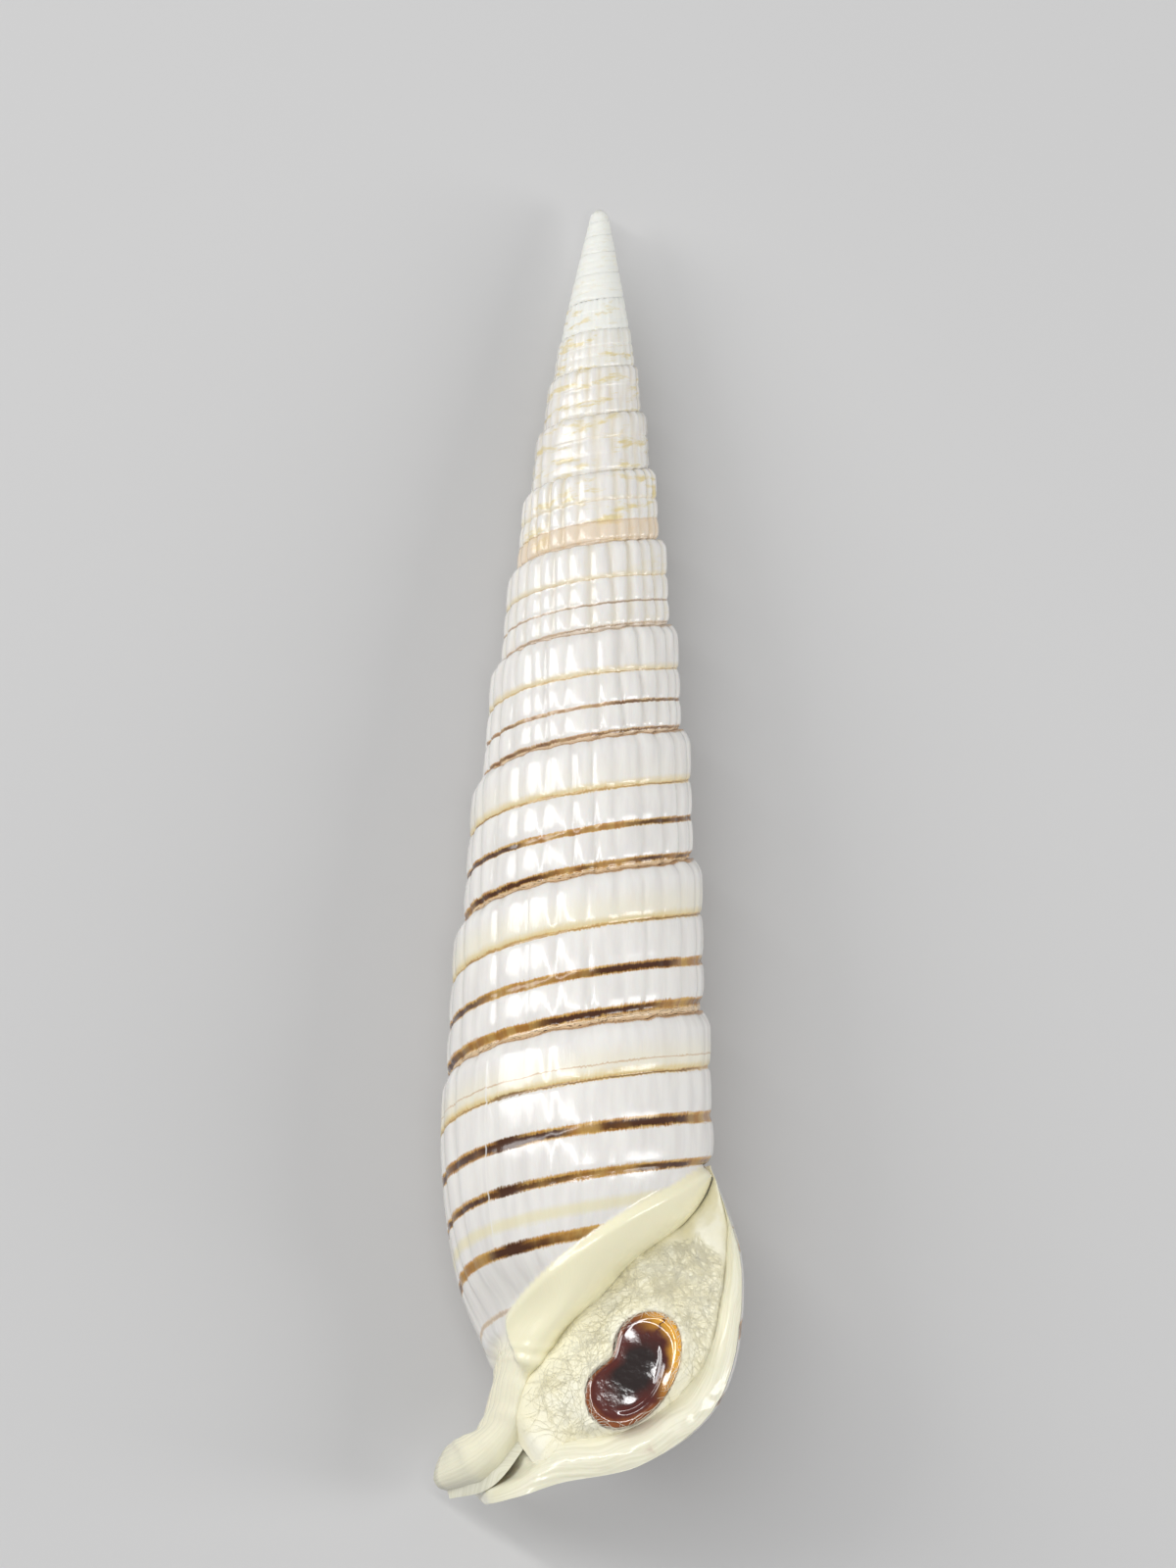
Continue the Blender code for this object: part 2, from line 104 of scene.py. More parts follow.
# %% [markdown]
# ## The last turn leaves the axis
# Down to the start of the mouth the shell is a plain coil. After that the lower part of the
# whorl swings out to the left and closes into the short canal that the snail breathed through.
# A few lines along this last turn are enough to steer it, each with five stops on the way round:
# the mouth's start, the front, the left, the back and the lip. Cubic curves join the stops along
# each line, and a second set of curves joins the lines across the whorl.

# %% Steering lines of the last turn
LAP_STOPS = (0.0, 0.25, 0.5, 0.75, 1.0)
UPPER_LINES = {
    0.5: ((7.62, 4.4, 0), (7.65, 4.4, 0), (7.62, 4.4, 0), (7.90, 4.9, 0), (9.95, 6.6, 10)),
    1.0: ((7.60, 8.8, 0), (7.35, 8.8, 0), (7.06, 8.8, 0), (7.95, 9.8, 0), (8.9, 14.1, 16)),
    1.39: ((6.30, 11.6, 0), (6.30, 12.0, 0), (6.24, 11.9, 0), (7.25, 13.4, 0), (5.49, 17.6, 35)),
}
LOWER_LINES = {
    1.75: ((2.4, 62.0, 2.6), (-0.6, 63.9, 4.6), (-4.88, 65.7, 0.0), (-1.3, 70.8, -4.9),
           (-0.45, 74.0, 3.0)),
    2.0: ((-1.2, 67.6, 1.8), (-2.9, 67.8, 2.9), (-4.25, 67.5, -0.2), (-3.2, 72.3, -3.9),
          (-3.0, 74.8, 2.2)),
    2.1: ((-2.65, 72.1, 1.2), (-3.9, 71.1, 1.7), (-5.2, 70.4, -1.4), (-4.4, 72.7, -4.7),
          (-4.3, 74.95, 0.8)),
    2.16: ((-4.6, 74.0, -1.0), (-5.9, 72.6, -0.7), (-6.2, 70.8, -2.6), (-4.9, 72.1, -5.4),
           (-4.7, 74.5, -2.2)),
    2.2: ((-6.6, 74.0, -4.8), (-7.55, 72.9, -4.25), (-6.75, 70.9, -4.9), (-5.2, 71.5, -6.0),
          (-5.5, 73.3, -5.8)),
}
LAST_ROW = 2.2
MERGE_LAPS = 0.3


def smooth_step(low, high, value):
    share = np.clip((value - low) / (high - low), 0.0, 1.0)
    return share * share * (3.0 - 2.0 * share)


def curve_through(knots, values, at):
    """Cubic curve through the values, read at many places: one row of the answer for each."""
    knots = np.asarray(knots, dtype=float)
    values = np.asarray(values, dtype=float)
    slopes = np.gradient(values, knots, axis=0)
    at = np.clip(np.atleast_1d(at), knots[0], knots[-1])
    cell = np.clip(np.searchsorted(knots, at) - 1, 0, len(knots) - 2)
    width = knots[cell + 1] - knots[cell]
    s = (at - knots[cell]) / width
    spread = (slice(None),) + (None,) * (values.ndim - 1)
    width, s = width[spread], s[spread]
    return (values[cell] * (1 + 2 * s) * (1 - s) ** 2 + slopes[cell] * width * s * (1 - s) ** 2
            + values[cell + 1] * s * s * (3 - 2 * s) + slopes[cell + 1] * width * s * s * (s - 1))


def steering_line(row, lap):
    """Points of one steering line at many laps."""
    if row in LOWER_LINES:
        return curve_through(LAP_STOPS, LOWER_LINES[row], lap)
    turn = lap - 1.0
    if row == 0.0:
        radius, depth = whorl_side(turn, 0.0)
        return on_axis(radius, depth, 2.0 * math.pi * turn + START_AZIMUTH)
    radius, drop, lead = curve_through(LAP_STOPS, UPPER_LINES[row], lap).T
    depth = seam_depth(turn) + drop
    if row <= 1.0:
        plain_radius, plain_depth = whorl_side(turn, row)
        share = smooth_step(0.0, MERGE_LAPS, lap)
        radius = plain_radius + (radius - plain_radius) * share
        depth = plain_depth + (depth - plain_depth) * share
    return on_axis(radius, depth, 2.0 * math.pi * turn + START_AZIMUTH + np.radians(lead))


def last_turn(lap, rows):
    """Grid of points, laps by rows, on the last turn without its relief."""
    lines = [0.0] + list(UPPER_LINES) + list(LOWER_LINES)
    stops = np.stack([steering_line(row, lap) for row in lines])
    return curve_through(lines, stops, rows).transpose(1, 0, 2)


lip_stops = last_turn(np.array([1.0]), [0.0, 0.5, 1.0, 1.39, LAST_ROW])[0]
print("lip, from seam to canal, mm:", np.round(lip_stops, 1).tolist())

# %% [markdown]
# ## Chance that can be repeated
# Nothing that grew is regular. Ribs wander, threads wobble and the seam is crinkled. All of that
# comes from smooth random curves with fixed seeds, so the shell comes out the same on every run.

# %% Smooth random curves and clouds
RANDOM_KNOTS = 4096
CLOUD_CELLS = 32


def wander(at, seed):
    """Smooth random value from -1 to 1, with one knot for each whole number."""
    knots = np.random.default_rng(seed).uniform(-1.0, 1.0, RANDOM_KNOTS)
    place = np.asarray(at, dtype=float) + RANDOM_KNOTS // 2
    cell = np.floor(place).astype(int)
    part = place - cell
    part = part * part * (3.0 - 2.0 * part)
    return knots[cell % RANDOM_KNOTS] * (1.0 - part) + knots[(cell + 1) % RANDOM_KNOTS] * part


def cloud(points, size, seed):
    """Smooth random value in space, from -1 to 1, with lumps of the given size."""
    table = np.random.default_rng(seed).uniform(-1.0, 1.0, (CLOUD_CELLS,) * 3)
    place = points / size + 2 * CLOUD_CELLS
    cell = np.floor(place).astype(int)
    part = place - cell
    part = part * part * (3.0 - 2.0 * part)
    total = np.zeros(points.shape[:-1])
    for corner in range(8):
        step = np.array([(corner >> axis) & 1 for axis in range(3)])
        weight = np.prod(np.where(step, part, 1.0 - part), axis=-1)
        index = (cell + step) % CLOUD_CELLS
        total += weight * table[index[..., 0], index[..., 1], index[..., 2]]
    return total


print("wander at five places:", np.round(wander(np.arange(5) * 0.5, 1), 2))

# %% [markdown]
# ## Bands that keep their place
# Four marks run round every whorl: a fine groove, two brown threads and the seam. Their places
# drift a little from whorl to whorl. It is easier to draw them at fixed places on a *band* scale,
# and to let that scale stretch over the rows, than to move each mark by itself.

# %% The band scale
GROOVE, THREAD_A, THREAD_B = 0.37, 0.68, 0.95
BASE_MARK = 1.25
DRIFT_TURNS = (-4.0, -3.0, -2.0, -1.0, 0.0)
GROOVE_DRIFT = (0.41, 0.39, 0.36, 0.36, 0.375)
THREAD_A_DRIFT = (0.70, 0.67, 0.655, 0.67, 0.70)
THREAD_B_DRIFT = (0.962, 0.955, 0.915, 0.97, 0.985)


def band_of(turn, row):
    """Place on the band scale, where the groove and threads keep fixed places."""
    groove = np.interp(turn, DRIFT_TURNS, GROOVE_DRIFT) + 0.006 * wander(turn * 9.0, 21)
    thread_a = np.interp(turn, DRIFT_TURNS, THREAD_A_DRIFT) + 0.008 * wander(turn * 7.0, 22)
    thread_b = np.interp(turn, DRIFT_TURNS, THREAD_B_DRIFT) + 0.006 * wander(turn * 8.0, 23)
    band = np.where(row < groove, row / groove * GROOVE,
                    GROOVE + (row - groove) / (thread_a - groove) * (THREAD_A - GROOVE))
    upper = THREAD_A + (row - thread_a) / (thread_b - thread_a) * (THREAD_B - THREAD_A)
    band = np.where(row > thread_a, upper, band)
    base = THREAD_B + (row - thread_b) / (BASE_MARK - thread_b) * (BASE_MARK - THREAD_B)
    return np.where(row > thread_b, base, band)


print("row of thread A on the last four whorls:", THREAD_A_DRIFT[:4])

# %% [markdown]
# ## Relief: shoulder, ribs, groove and folds
# Each whorl is rounded over at its top, where it tucks in under the one before. Broad flat ribs
# cross it, parted by narrow furrows. They are bold on the old whorls and fade toward the mouth.
# The groove and the two threads lie in shallow channels that cut the ribs into beads. One height
# above the plain side, in millimetres, holds all of this.

# %% Height of the relief
SHOULDER_SHARE, SHOULDER_DROP = 0.11, 0.36
FOOT_STEP, FOOT_BANDS, TUCK_ROWS = 0.11, (0.95, 0.965), (0.985, 1.0)
RIBS_PER_TURN, RIB_HEIGHT, RIB_ROUNDING = 26, 0.24, 1.1
RIB_DRIFT, RIB_CRINKLE, RIB_SLANT = 0.3, 0.12, 0.25
FURROW_TURNS, FURROW_WIDTHS = (-9.0, -2.0), (0.24, 0.11)
FURROW_DEPTH, FURROW_SPREAD = 0.65, 0.35
CUSHION_HEIGHT, CUSHIONS_FADE = 0.13, (-0.95, -0.5)
RIB_STRENGTH_TURNS = (-10.4, -9.6, -5.0, -3.0, -2.3, -1.9, -1.5, -1.0, -0.8, -0.55, -0.4, -0.2, 0.0)
RIB_STRENGTH = (0.0, 0.8, 1.0, 0.8, 0.5, 0.45, 0.5, 0.12, 0.2, 0.55, 0.35, 0.1, 0.0)
GROOVE_WIDTH, GROOVE_DEPTH, GROOVE_FADES = 0.011, 0.11, (-0.5, -0.2)
CHANNEL_WIDTH, CHANNEL_DEPTH, CHANNELS_START = 0.02, 0.05, (-10.5, -9.5)
BEAD_CUTS = ((GROOVE, 0.035, 0.45), (THREAD_A, 0.03, 0.3))
BASE_SMOOTHING, BASE_SMOOTH_ROWS = 0.7, (1.35, 1.8)
GROWTH_LINE_HEIGHT, GROWTH_LINES_PER_TURN = 0.02, 60.0
SEAM_RIPPLES = ((0.07, 70.0, 35), (0.05, 26.0, 36))


def ribs(turn, row):
    """Broad ribs with narrow furrows, from 0 on the crown to -1 in a furrow."""
    place = turn * RIBS_PER_TURN + RIB_DRIFT * wander(turn * 11.0, 31) + RIB_SLANT * row
    place = place + RIB_CRINKLE * wander(turn * 40.0 + row * 2.0, 32)
    across = np.abs(place - np.floor(place) - 0.5)
    width = np.interp(turn, FURROW_TURNS, FURROW_WIDTHS)
    furrow = np.exp(-((0.5 - across) / width) ** 2)
    depth = FURROW_DEPTH + FURROW_SPREAD * wander(np.floor(place + 0.5) * 1.7, 33)
    return -furrow * depth - RIB_ROUNDING * across ** 2


def bump_at(band, centre, width):
    return np.exp(-((band - centre) / width) ** 2)


def cushion(band):
    """Swelling between two lines, from 0 at a line to 1 between them."""
    share = np.select([band < GROOVE, band < THREAD_A, band < THREAD_B],
                      [band / GROOVE, (band - GROOVE) / (THREAD_A - GROOVE),
                       (band - THREAD_A) / (THREAD_B - THREAD_A)], 0.0)
    return 1.0 - np.abs(2.0 * share - 1.0) ** 3


def seam_ripple(turn):
    """Small waves of the seam, in millimetres of depth."""
    return sum(height * wander(turn * rate, seed) for height, rate, seed in SEAM_RIPPLES)


def whorl_size(turn):
    """Height of a whorl as a share of the last one's."""
    return np.minimum((seam_depth(turn + 1.0) - seam_depth(turn)) / WHORL_PITCH, 1.0)


def fold_height(turn, row, band, size):
    """The shoulder at the top of a whorl, its foot, and the tuck under the next whorl."""
    on_spire = 1.0 - smooth_step(-1.0, -0.85, turn)
    shoulder = -SHOULDER_DROP * size * (1.0 - np.clip(row / SHOULDER_SHARE, 0.0, 1.0)) ** 2
    foot = FOOT_STEP * smooth_step(*FOOT_BANDS, band)
    tuck = (SHOULDER_DROP - FOOT_STEP) * smooth_step(*TUCK_ROWS, row)
    return (shoulder - (foot + tuck) * size * on_spire) * np.interp(turn, WORN_TURNS, (0.5, 1.0))


def relief(turn, row, band):
    """Height of the surface over the plain side of the whorl."""
    size = whorl_size(turn)
    channels = bump_at(band, GROOVE, GROOVE_WIDTH) * GROOVE_DEPTH * (1.0 - smooth_step(*GROOVE_FADES, turn))
    for thread in (THREAD_A, THREAD_B):
        channels = channels + CHANNEL_DEPTH * bump_at(band, thread, CHANNEL_WIDTH)
    height = fold_height(turn, row, band, size) - channels * size * smooth_step(*CHANNELS_START, turn)
    height = height + CUSHION_HEIGHT * cushion(band) * size * (1.0 - smooth_step(*CUSHIONS_FADE, turn))
    strength = np.interp(turn, RIB_STRENGTH_TURNS, RIB_STRENGTH) * (0.55 + 0.45 * size)
    beads = 1.0 - sum(cut * bump_at(band, line, width) for line, width, cut in BEAD_CUTS)
    low = 1.0 - BASE_SMOOTHING * smooth_step(*BASE_SMOOTH_ROWS, row)
    height = height + RIB_HEIGHT * strength * beads * low * ribs(turn, row)
    return height + GROWTH_LINE_HEIGHT * wander(turn * GROWTH_LINES_PER_TURN, 34) * size * low


print("relief in a furrow at turn -4, mm:", round(float(relief(np.array(-4.0), 0.2, 0.2)), 3))

# %% [markdown]
# ## The callus
# Where the mouth leans on the body whorl, the snail laid down a smooth cream pad with a free
# edge. From above its outline is a long leaf. The distance inside that outline, measured
# on the front of the shell, tells how far the pad is raised and where its colour begins.

# %% Outline of the callus pad
PAD_HEIGHT, PAD_EDGE_WIDTH, PAD_MELTING_WIDTH = 0.42, 0.38, 1.6
PAD_MELTS_X, PAD_MELTS_DEPTH = (-2.9, -0.8), (66.0, 67.6)
FAR_OUTSIDE = -9.0
PAD_OUTLINE = np.array((
    (7.9, 55.3), (5.3, 57.2), (2.0, 59.4), (-1.5, 62.1), (-3.45, 64.1), (-3.7, 65.0),
    (-3.3, 66.4), (-2.4, 67.9), (0.5, 68.5), (4.5, 66.0), (8.5, 58.0),
))


def rounded(outline, steps=6):
    """Closed smooth curve through an outline's corners."""
    corners = np.concatenate((outline[-2:], outline, outline[:3]))
    places = np.arange(2, 2 + len(outline), 1.0 / steps)
    return curve_through(np.arange(len(corners)), corners, places)


PAD_CURVE = rounded(PAD_OUTLINE)


def inside_outline(outline, x, depth):
    """Distance inside a closed outline, in millimetres, and negative outside it."""
    inside = np.zeros(x.shape, dtype=bool)
    nearest = np.full(x.shape, 1e9)
    for (ax, ay), (bx, by) in zip(outline, np.roll(outline, -1, axis=0)):
        crossing = (ay > depth) != (by > depth)
        edge = ax + (bx - ax) * (depth - ay) / (by - ay if by != ay else 1e-9)
        inside ^= crossing & (x < edge)
        along = ((x - ax) * (bx - ax) + (depth - ay) * (by - ay)) / ((bx - ax) ** 2 + (by - ay) ** 2)
        along = np.clip(along, 0.0, 1.0)
        nearest = np.minimum(nearest, np.hypot(ax + along * (bx - ax) - x, ay + along * (by - ay) - depth))
    return np.where(inside, nearest, -nearest)


def pad_edge_width(points):
    """The pad's free edge is crisp, and its lower end melts into the pillar."""
    melting = smooth_step(*PAD_MELTS_X, points[..., 0]) * smooth_step(*PAD_MELTS_DEPTH, points[..., 1])
    return PAD_EDGE_WIDTH + PAD_MELTING_WIDTH * melting


def pad_share(points, turn):
    """How far a point lies inside the callus pad, in millimetres."""
    distance = np.full(points.shape[:-1], FAR_OUTSIDE)
    on_front = (points[..., 2] > 0.0) & (turn < -0.5) & (turn >= -1.0)
    front = points[on_front]
    distance[on_front] = inside_outline(PAD_CURVE, front[..., 0], front[..., 1])
    return distance


pad_middle = inside_outline(PAD_CURVE, np.array(0.0), np.array(64.0))
print("inside the callus at x 0, depth 64 mm:", round(float(pad_middle), 2))

# %% [markdown]
# ## Grids gathered into a skin
# Each surface here is a grid of points, which could be a NURBS patch or a subdivided cage. A plain
# grid was chosen, because each of its points can carry marks, such as its turn, for the colours to
# read. A skin gathers several grids, and becomes one mesh at the end.

# %% Grid helpers
def outward_of(points):
    along = np.gradient(points, axis=0)
    across = np.gradient(points, axis=1)
    normal = np.cross(across, along)
    return normal / np.maximum(np.linalg.norm(normal, axis=-1, keepdims=True), 1e-9)


class Skin:
    """Gathers grids of points, with their marks, into one mesh."""

    def __init__(self):
        self.points, self.faces, self.marks = [], [], []
        self.count = 0

    def add_grid(self, points, **marks):
        rows, columns = points.shape[:2]
        numbers = self.count + np.arange(rows * columns).reshape(rows, columns)
        corners = (numbers[:-1, :-1], numbers[1:, :-1], numbers[1:, 1:], numbers[:-1, 1:])
        self.points.append(points.reshape(-1, 3))
        self.faces.append(np.stack([corner.ravel() for corner in corners], axis=-1))
        spread = {name: np.broadcast_to(value, (rows, columns)) for name, value in marks.items()}
        self.marks.append({name: values.ravel() for name, values in spread.items()})
        self.count += rows * columns


print("a new skin holds", Skin().count, "points")

# %% [markdown]
# ## Laying it down
# On its back the shell rests on the bulge of the last whorls, with the tip dipped by a few
# degrees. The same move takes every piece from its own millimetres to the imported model's metres.
# A rib that would reach below the table is eased up to it, within a thin band.

# %% From the shell's millimetres to the table
MM = 0.001
WELD = 1e-6
REST_PITCH = math.radians(4.6)
REST_HEIGHT = 3.3
RESTING_BAND = 0.25
MIDDLE_X, MIDDLE_DEPTH = 1.045, 37.322


def laid_down(points):
    x, y, z = points[..., 0], -points[..., 1], points[..., 2]
    c, s = math.cos(REST_PITCH), math.sin(REST_PITCH)
    y, z = c * y + s * z, -s * y + c * z
    z = z + REST_HEIGHT
    settled = RESTING_BAND * np.exp(np.minimum(z - RESTING_BAND, 0.0) / RESTING_BAND)
    z = np.where(z < RESTING_BAND, settled, z)
    return np.stack((x - MIDDLE_X, y + MIDDLE_DEPTH, z), -1) * MM


def make_piece(name, skin):
    """Turns a skin into a smooth mesh object that rides on the root body."""
    mesh = bpy.data.meshes.new(name)
    points = laid_down(np.concatenate(skin.points))
    mesh.from_pydata(points.tolist(), [], np.concatenate(skin.faces).tolist())
    for mark in skin.marks[0]:
        values = np.concatenate([marks[mark] for marks in skin.marks])
        mesh.attributes.new(mark, "FLOAT", "POINT").data.foreach_set("value", values.astype(np.float32))
    body = bmesh.new()
    body.from_mesh(mesh)
    bmesh.ops.remove_doubles(body, verts=body.verts, dist=WELD)
    body.to_mesh(mesh)
    body.free()
    mesh.shade_smooth()
    piece = bpy.data.objects.new(name, mesh)
    bpy.context.scene.collection.objects.link(piece)
    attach(piece, "root")
    print(name, "has", sum(len(face.vertices) - 2 for face in mesh.polygons), "triangles")
    return piece


print("tip on the table, metres:", np.round(laid_down(np.zeros(3)), 4))

# %% [markdown]
# ## One skin for the whole outside
# The surface is a grid, laps by rows. The relief is added along the grid's own outward
# direction, found from its neighbours, so it works on the spire and round the canal alike. A strip
# tucks each whorl's top edge in under the whorl before it, which leaves no chink at the seam. The
# old whorls are small, so they get fewer columns. Each vertex also keeps its turn, its band, how
# creamy it is and how much painted shade it gets, which grows with its depth in a furrow, for the
# colours to read.

# %% Outside of the shell
FINE_COLUMNS, COARSE_COLUMNS = 216, 72
FIRST_TURN, FINE_FROM = -16.5, -6.5
TIP_CAP = 0.5
# The tuck strips in the seams' creases get this much painted shade.
TUCK_DEPTH, TUCK_PAINTED_SHADE = 0.6, 0.6
RIPPLE_ROWS, SEAM_BLEND_TURNS = (0.07, 0.965), 0.06
PAD_SMOOTHING = 0.85
CREAM_EDGE, BASE_CREAM_ROWS, BASE_CREAM = (-0.02, 0.1), (1.78, 2.0), 0.8
WRINKLE_HEIGHT, WRINKLES_PER_ROW = 0.14, 60.0
WRINKLE_ROWS, WRINKLES_END = (1.88, 2.02), (2.15, 2.19)
WRINKLE_TURNS, WRINKLE_TURNS_END = (-0.98, -0.9), (-0.12, -0.03)
WHORL_ROWS = np.unique(np.round(np.concatenate((
    np.linspace(0.0, 0.12, 6), np.linspace(0.12, 0.335, 6), np.linspace(0.335, 0.41, 6),
    np.linspace(0.41, 0.64, 5), np.linspace(0.64, 0.72, 4), np.linspace(0.72, 0.90, 4),
    np.linspace(0.90, 1.0, 7),
)), 4))
BASE_ROWS = np.round(np.concatenate((np.linspace(1.02, 1.9, 42), np.linspace(1.91, LAST_ROW, 44))), 4)


def outside_marks(points, turn, row, band):
    cream = smooth_step(*CREAM_EDGE, pad_share(points, turn))
    cream = np.maximum(cream, smooth_step(*BASE_CREAM_ROWS, row) * BASE_CREAM)
    strength = np.interp(turn, RIB_STRENGTH_TURNS, RIB_STRENGTH)
    # Painted shade: the deeper a point lies in a furrow, the darker the colours paint it.
    dip = np.clip(-ribs(turn, row) * strength, 0.0, 1.0) * (1.0 - cream)
    return {"turn": turn, "band": band, "cream": cream, "layer": -1.0, "dip": dip}


def wrinkles(turn, row):
    """Folds that cross the neck of the canal."""
    height = WRINKLE_HEIGHT * wander(row * WRINKLES_PER_ROW + 1.5 * wander(turn * 6.0, 41), 42)
    height = height * smooth_step(*WRINKLE_ROWS, row) * (1.0 - smooth_step(*WRINKLES_END, row))
    return height * smooth_step(*WRINKLE_TURNS, turn) * (1.0 - smooth_step(*WRINKLE_TURNS_END, turn))


def round_the_tip(points):
    """Draws the first half millimetre of the axis in to a round end."""
    cap = 1.0 - np.clip(points[..., 1:2] / TIP_CAP, 0.0, 1.0)
    return points * np.where((1, 0, 1), np.sqrt(1.0 - cap ** 2), 1.0)


def plain_outside(turns, row):
    """Grid on the plain coil or on the last turn, with the ripple of its seams."""
    turn = turns[:, None]
    if turns[0] < -1.0:
        radius, depth = whorl_side(turn, row)
        points = on_axis(radius, depth, 2.0 * math.pi * turn + START_AZIMUTH)
    else:
        points = last_turn(turns + 1.0, row[0])
    top, bottom = RIPPLE_ROWS
    ripple = seam_ripple(turn) * np.clip(1.0 - row / top, 0.0, 1.0)
    ripple = ripple + seam_ripple(turn + 1.0) * smooth_step(bottom, 1.0, row) * (turn < -1.0)
    points[..., 1] += ripple * whorl_size(turn)
    return points


def add_outside(skin, turns, rows):
    turn, row = turns[:, None], np.asarray(rows)[None, :]
    band = band_of(turn, row)
    points = plain_outside(turns, row)
    lift = smooth_step(0.0, pad_edge_width(points), pad_share(points, turn))
    height = relief(turn, row, band) * (1.0 - PAD_SMOOTHING * lift) + PAD_HEIGHT * lift
    outward = outward_of(points)
    if turns[0] >= -1.0:
        radial = points * np.array((1.0, 0.0, 1.0))
        radial = radial / np.linalg.norm(radial, axis=-1, keepdims=True)
        share = (1.0 - smooth_step(0.0, SEAM_BLEND_TURNS, turn + 1.0)) * (row < 1.0)
        outward = outward + (radial - outward) * share[..., None]
    points = round_the_tip(points + outward * (height + wrinkles(turn, row))[..., None])
    skin.add_grid(points, **outside_marks(points, turn, row, band))
    add_tuck(skin, turns, points[:, 0])


def add_tuck(skin, turns, shoulder):
    """Joins the top edge of a whorl to the side of the whorl above it."""
    radius, _ = whorl_side(turns - 1.0, 1.0)
    inner = on_axis(radius - TUCK_DEPTH, shoulder[:, 1], 2.0 * math.pi * turns + START_AZIMUTH)
    strip = np.stack((round_the_tip(inner), shoulder), axis=1)
    # The strip lies in the crease under the whorl above, so shade is painted on it.
    skin.add_grid(strip, turn=turns[:, None], band=0.0, cream=0.0, layer=-1.0, dip=TUCK_PAINTED_SHADE)


shell_skin = Skin()
lap_turns = np.linspace(-1.0, 0.0, FINE_COLUMNS + 1)
old_turns = np.linspace(FIRST_TURN, FINE_FROM, int((FINE_FROM - FIRST_TURN) * COARSE_COLUMNS) + 1)
young_turns = np.linspace(FINE_FROM, -1.0, int((-1.0 - FINE_FROM) * FINE_COLUMNS) + 1)
for turns in (old_turns, young_turns):
    add_outside(shell_skin, turns, np.append(WHORL_ROWS, 1.03))
add_outside(shell_skin, lap_turns, np.concatenate((WHORL_ROWS, BASE_ROWS)))
print("outside:", shell_skin.count, "points")

# %% [markdown]
# ## The mouth and its lip
# The lip is the newest shell, and it shows how shell is made: thin layers, each a little short of
# or beyond the last, so the edge is a stack of fine ledges. Sections are taken all along the lip,
# each running from its outer edge, over its thickness, down the hollow and back up to the wall on
# the far side. Where the mouth narrows into the canal the section becomes a small ring.

# %% Sections of the hollow
LIP_THICKNESS, THICKEST_SHARE, LIP_BULGE = 2.2, 0.3, 0.2
HOLLOW_TURN, HOLLOW_FULL_GAP = 0.09, 9.0
HALF_WAY_THICKNESS, FAR_THICKNESS = 1.1, 1.3
WALL_HOLLOWING = (0.08, 0.05)
FLOOR_SAG = 0.15
MOUTH_BACK_RISE = -2.2
WALL_LEAD = 1.6
WALL_TURNS_TO, WALL_SINKS_FROM = 1.6, 1.95
CANAL_FROM, CANAL_TO = 1.85, 2.1
CANAL_BORE = (
    (0.93, 0.68), (0.84, 0.58), (0.72, 0.54), (0.58, 0.52), (0.44, 0.52), (0.3, 0.54), (0.15, 0.6),
)


def outside_point(turn, row):
    """One point of the plain outside, on either side of the mouth's start."""
    if turn <= -1.0 and row <= 1.0:
        radius, depth = whorl_side(turn, row)
        return on_axis(radius, depth, 2.0 * math.pi * turn + START_AZIMUTH)
    if turn < -1.0:
        back = 2.0 * math.pi * (turn + 1.0)
        c, s = math.cos(back), math.sin(back)
        x, depth, z = last_turn(np.array([0.0]), [row])[0, 0]
        return np.array((c * x - s * z, depth + MOUTH_BACK_RISE * (turn + 1.0) / -0.25, s * x + c * z))
    point = last_turn(np.array([turn + 1.0]), [row])[0, 0]
    lift = PAD_HEIGHT * smooth_step(0.0, pad_edge_width(point), pad_share(point, turn))
    radial = point * np.array((1.0, 0.0, 1.0))
    return point + radial / np.linalg.norm(radial) * lift


def wall_row_at(share):
    """Row on the far wall that faces a place along the lip."""
    return 1.0 + (LAST_ROW - 1.0) * (1.0 - (1.0 - share) ** WALL_LEAD)


def mouth_section(lip_row, wall_row):
    """Seven points from the lip's middle, down the hollow and up to the wall."""
    lip, wall = outside_point(0.0, lip_row), outside_point(-1.0, wall_row)
    gap = np.linalg.norm(wall - lip)
    inward = (wall - lip) / gap
    thickness = min(LIP_THICKNESS, THICKEST_SHARE * gap)
    back = HOLLOW_TURN * min(1.0, gap / HOLLOW_FULL_GAP)
    far = outside_point(-back, lip_row) + inward * thickness * FAR_THICKNESS
    half_way = outside_point(-0.5 * back, lip_row) + inward * thickness * HALF_WAY_THICKNESS
    sunk = far - lip - inward * thickness
    leave = smooth_step(WALL_TURNS_TO, WALL_SINKS_FROM, wall_row)
    turned_half = outside_point(-1.0 - 0.5 * back, wall_row)
    turned_far = outside_point(-1.0 - back, wall_row)
    half_hollow, far_hollow = [inward * share * gap for share in WALL_HOLLOWING]
    wall_half = turned_half + (wall + 0.5 * sunk - turned_half) * leave - half_hollow
    wall_far = turned_far + (wall + sunk - turned_far) * leave - far_hollow
    return np.array([
        lip + inward * thickness * 0.5 + np.array((0.0, 0.0, LIP_BULGE * thickness)),
        lip + inward * thickness, half_way, far, 0.5 * (far + wall_far) + sunk * FLOOR_SAG,
        wall_far, wall_half,
    ])


def canal_section(lip_row, wall_row):
    """Seven points of the small ring that the canal is inside."""
    def loop_point(lap):
        return last_turn(np.array([lap]), [lip_row + (wall_row - lip_row) * (1.0 - lap)])[0, 0]

    middle = np.mean([loop_point(lap) for lap in LAP_STOPS], axis=0)
    return np.array([middle + (loop_point(lap) - middle) * share for lap, share in CANAL_BORE])


middle_section = mouth_section(0.5, wall_row_at(0.3))
print("a section through the mouth, mm:", np.round(middle_section, 1).tolist())

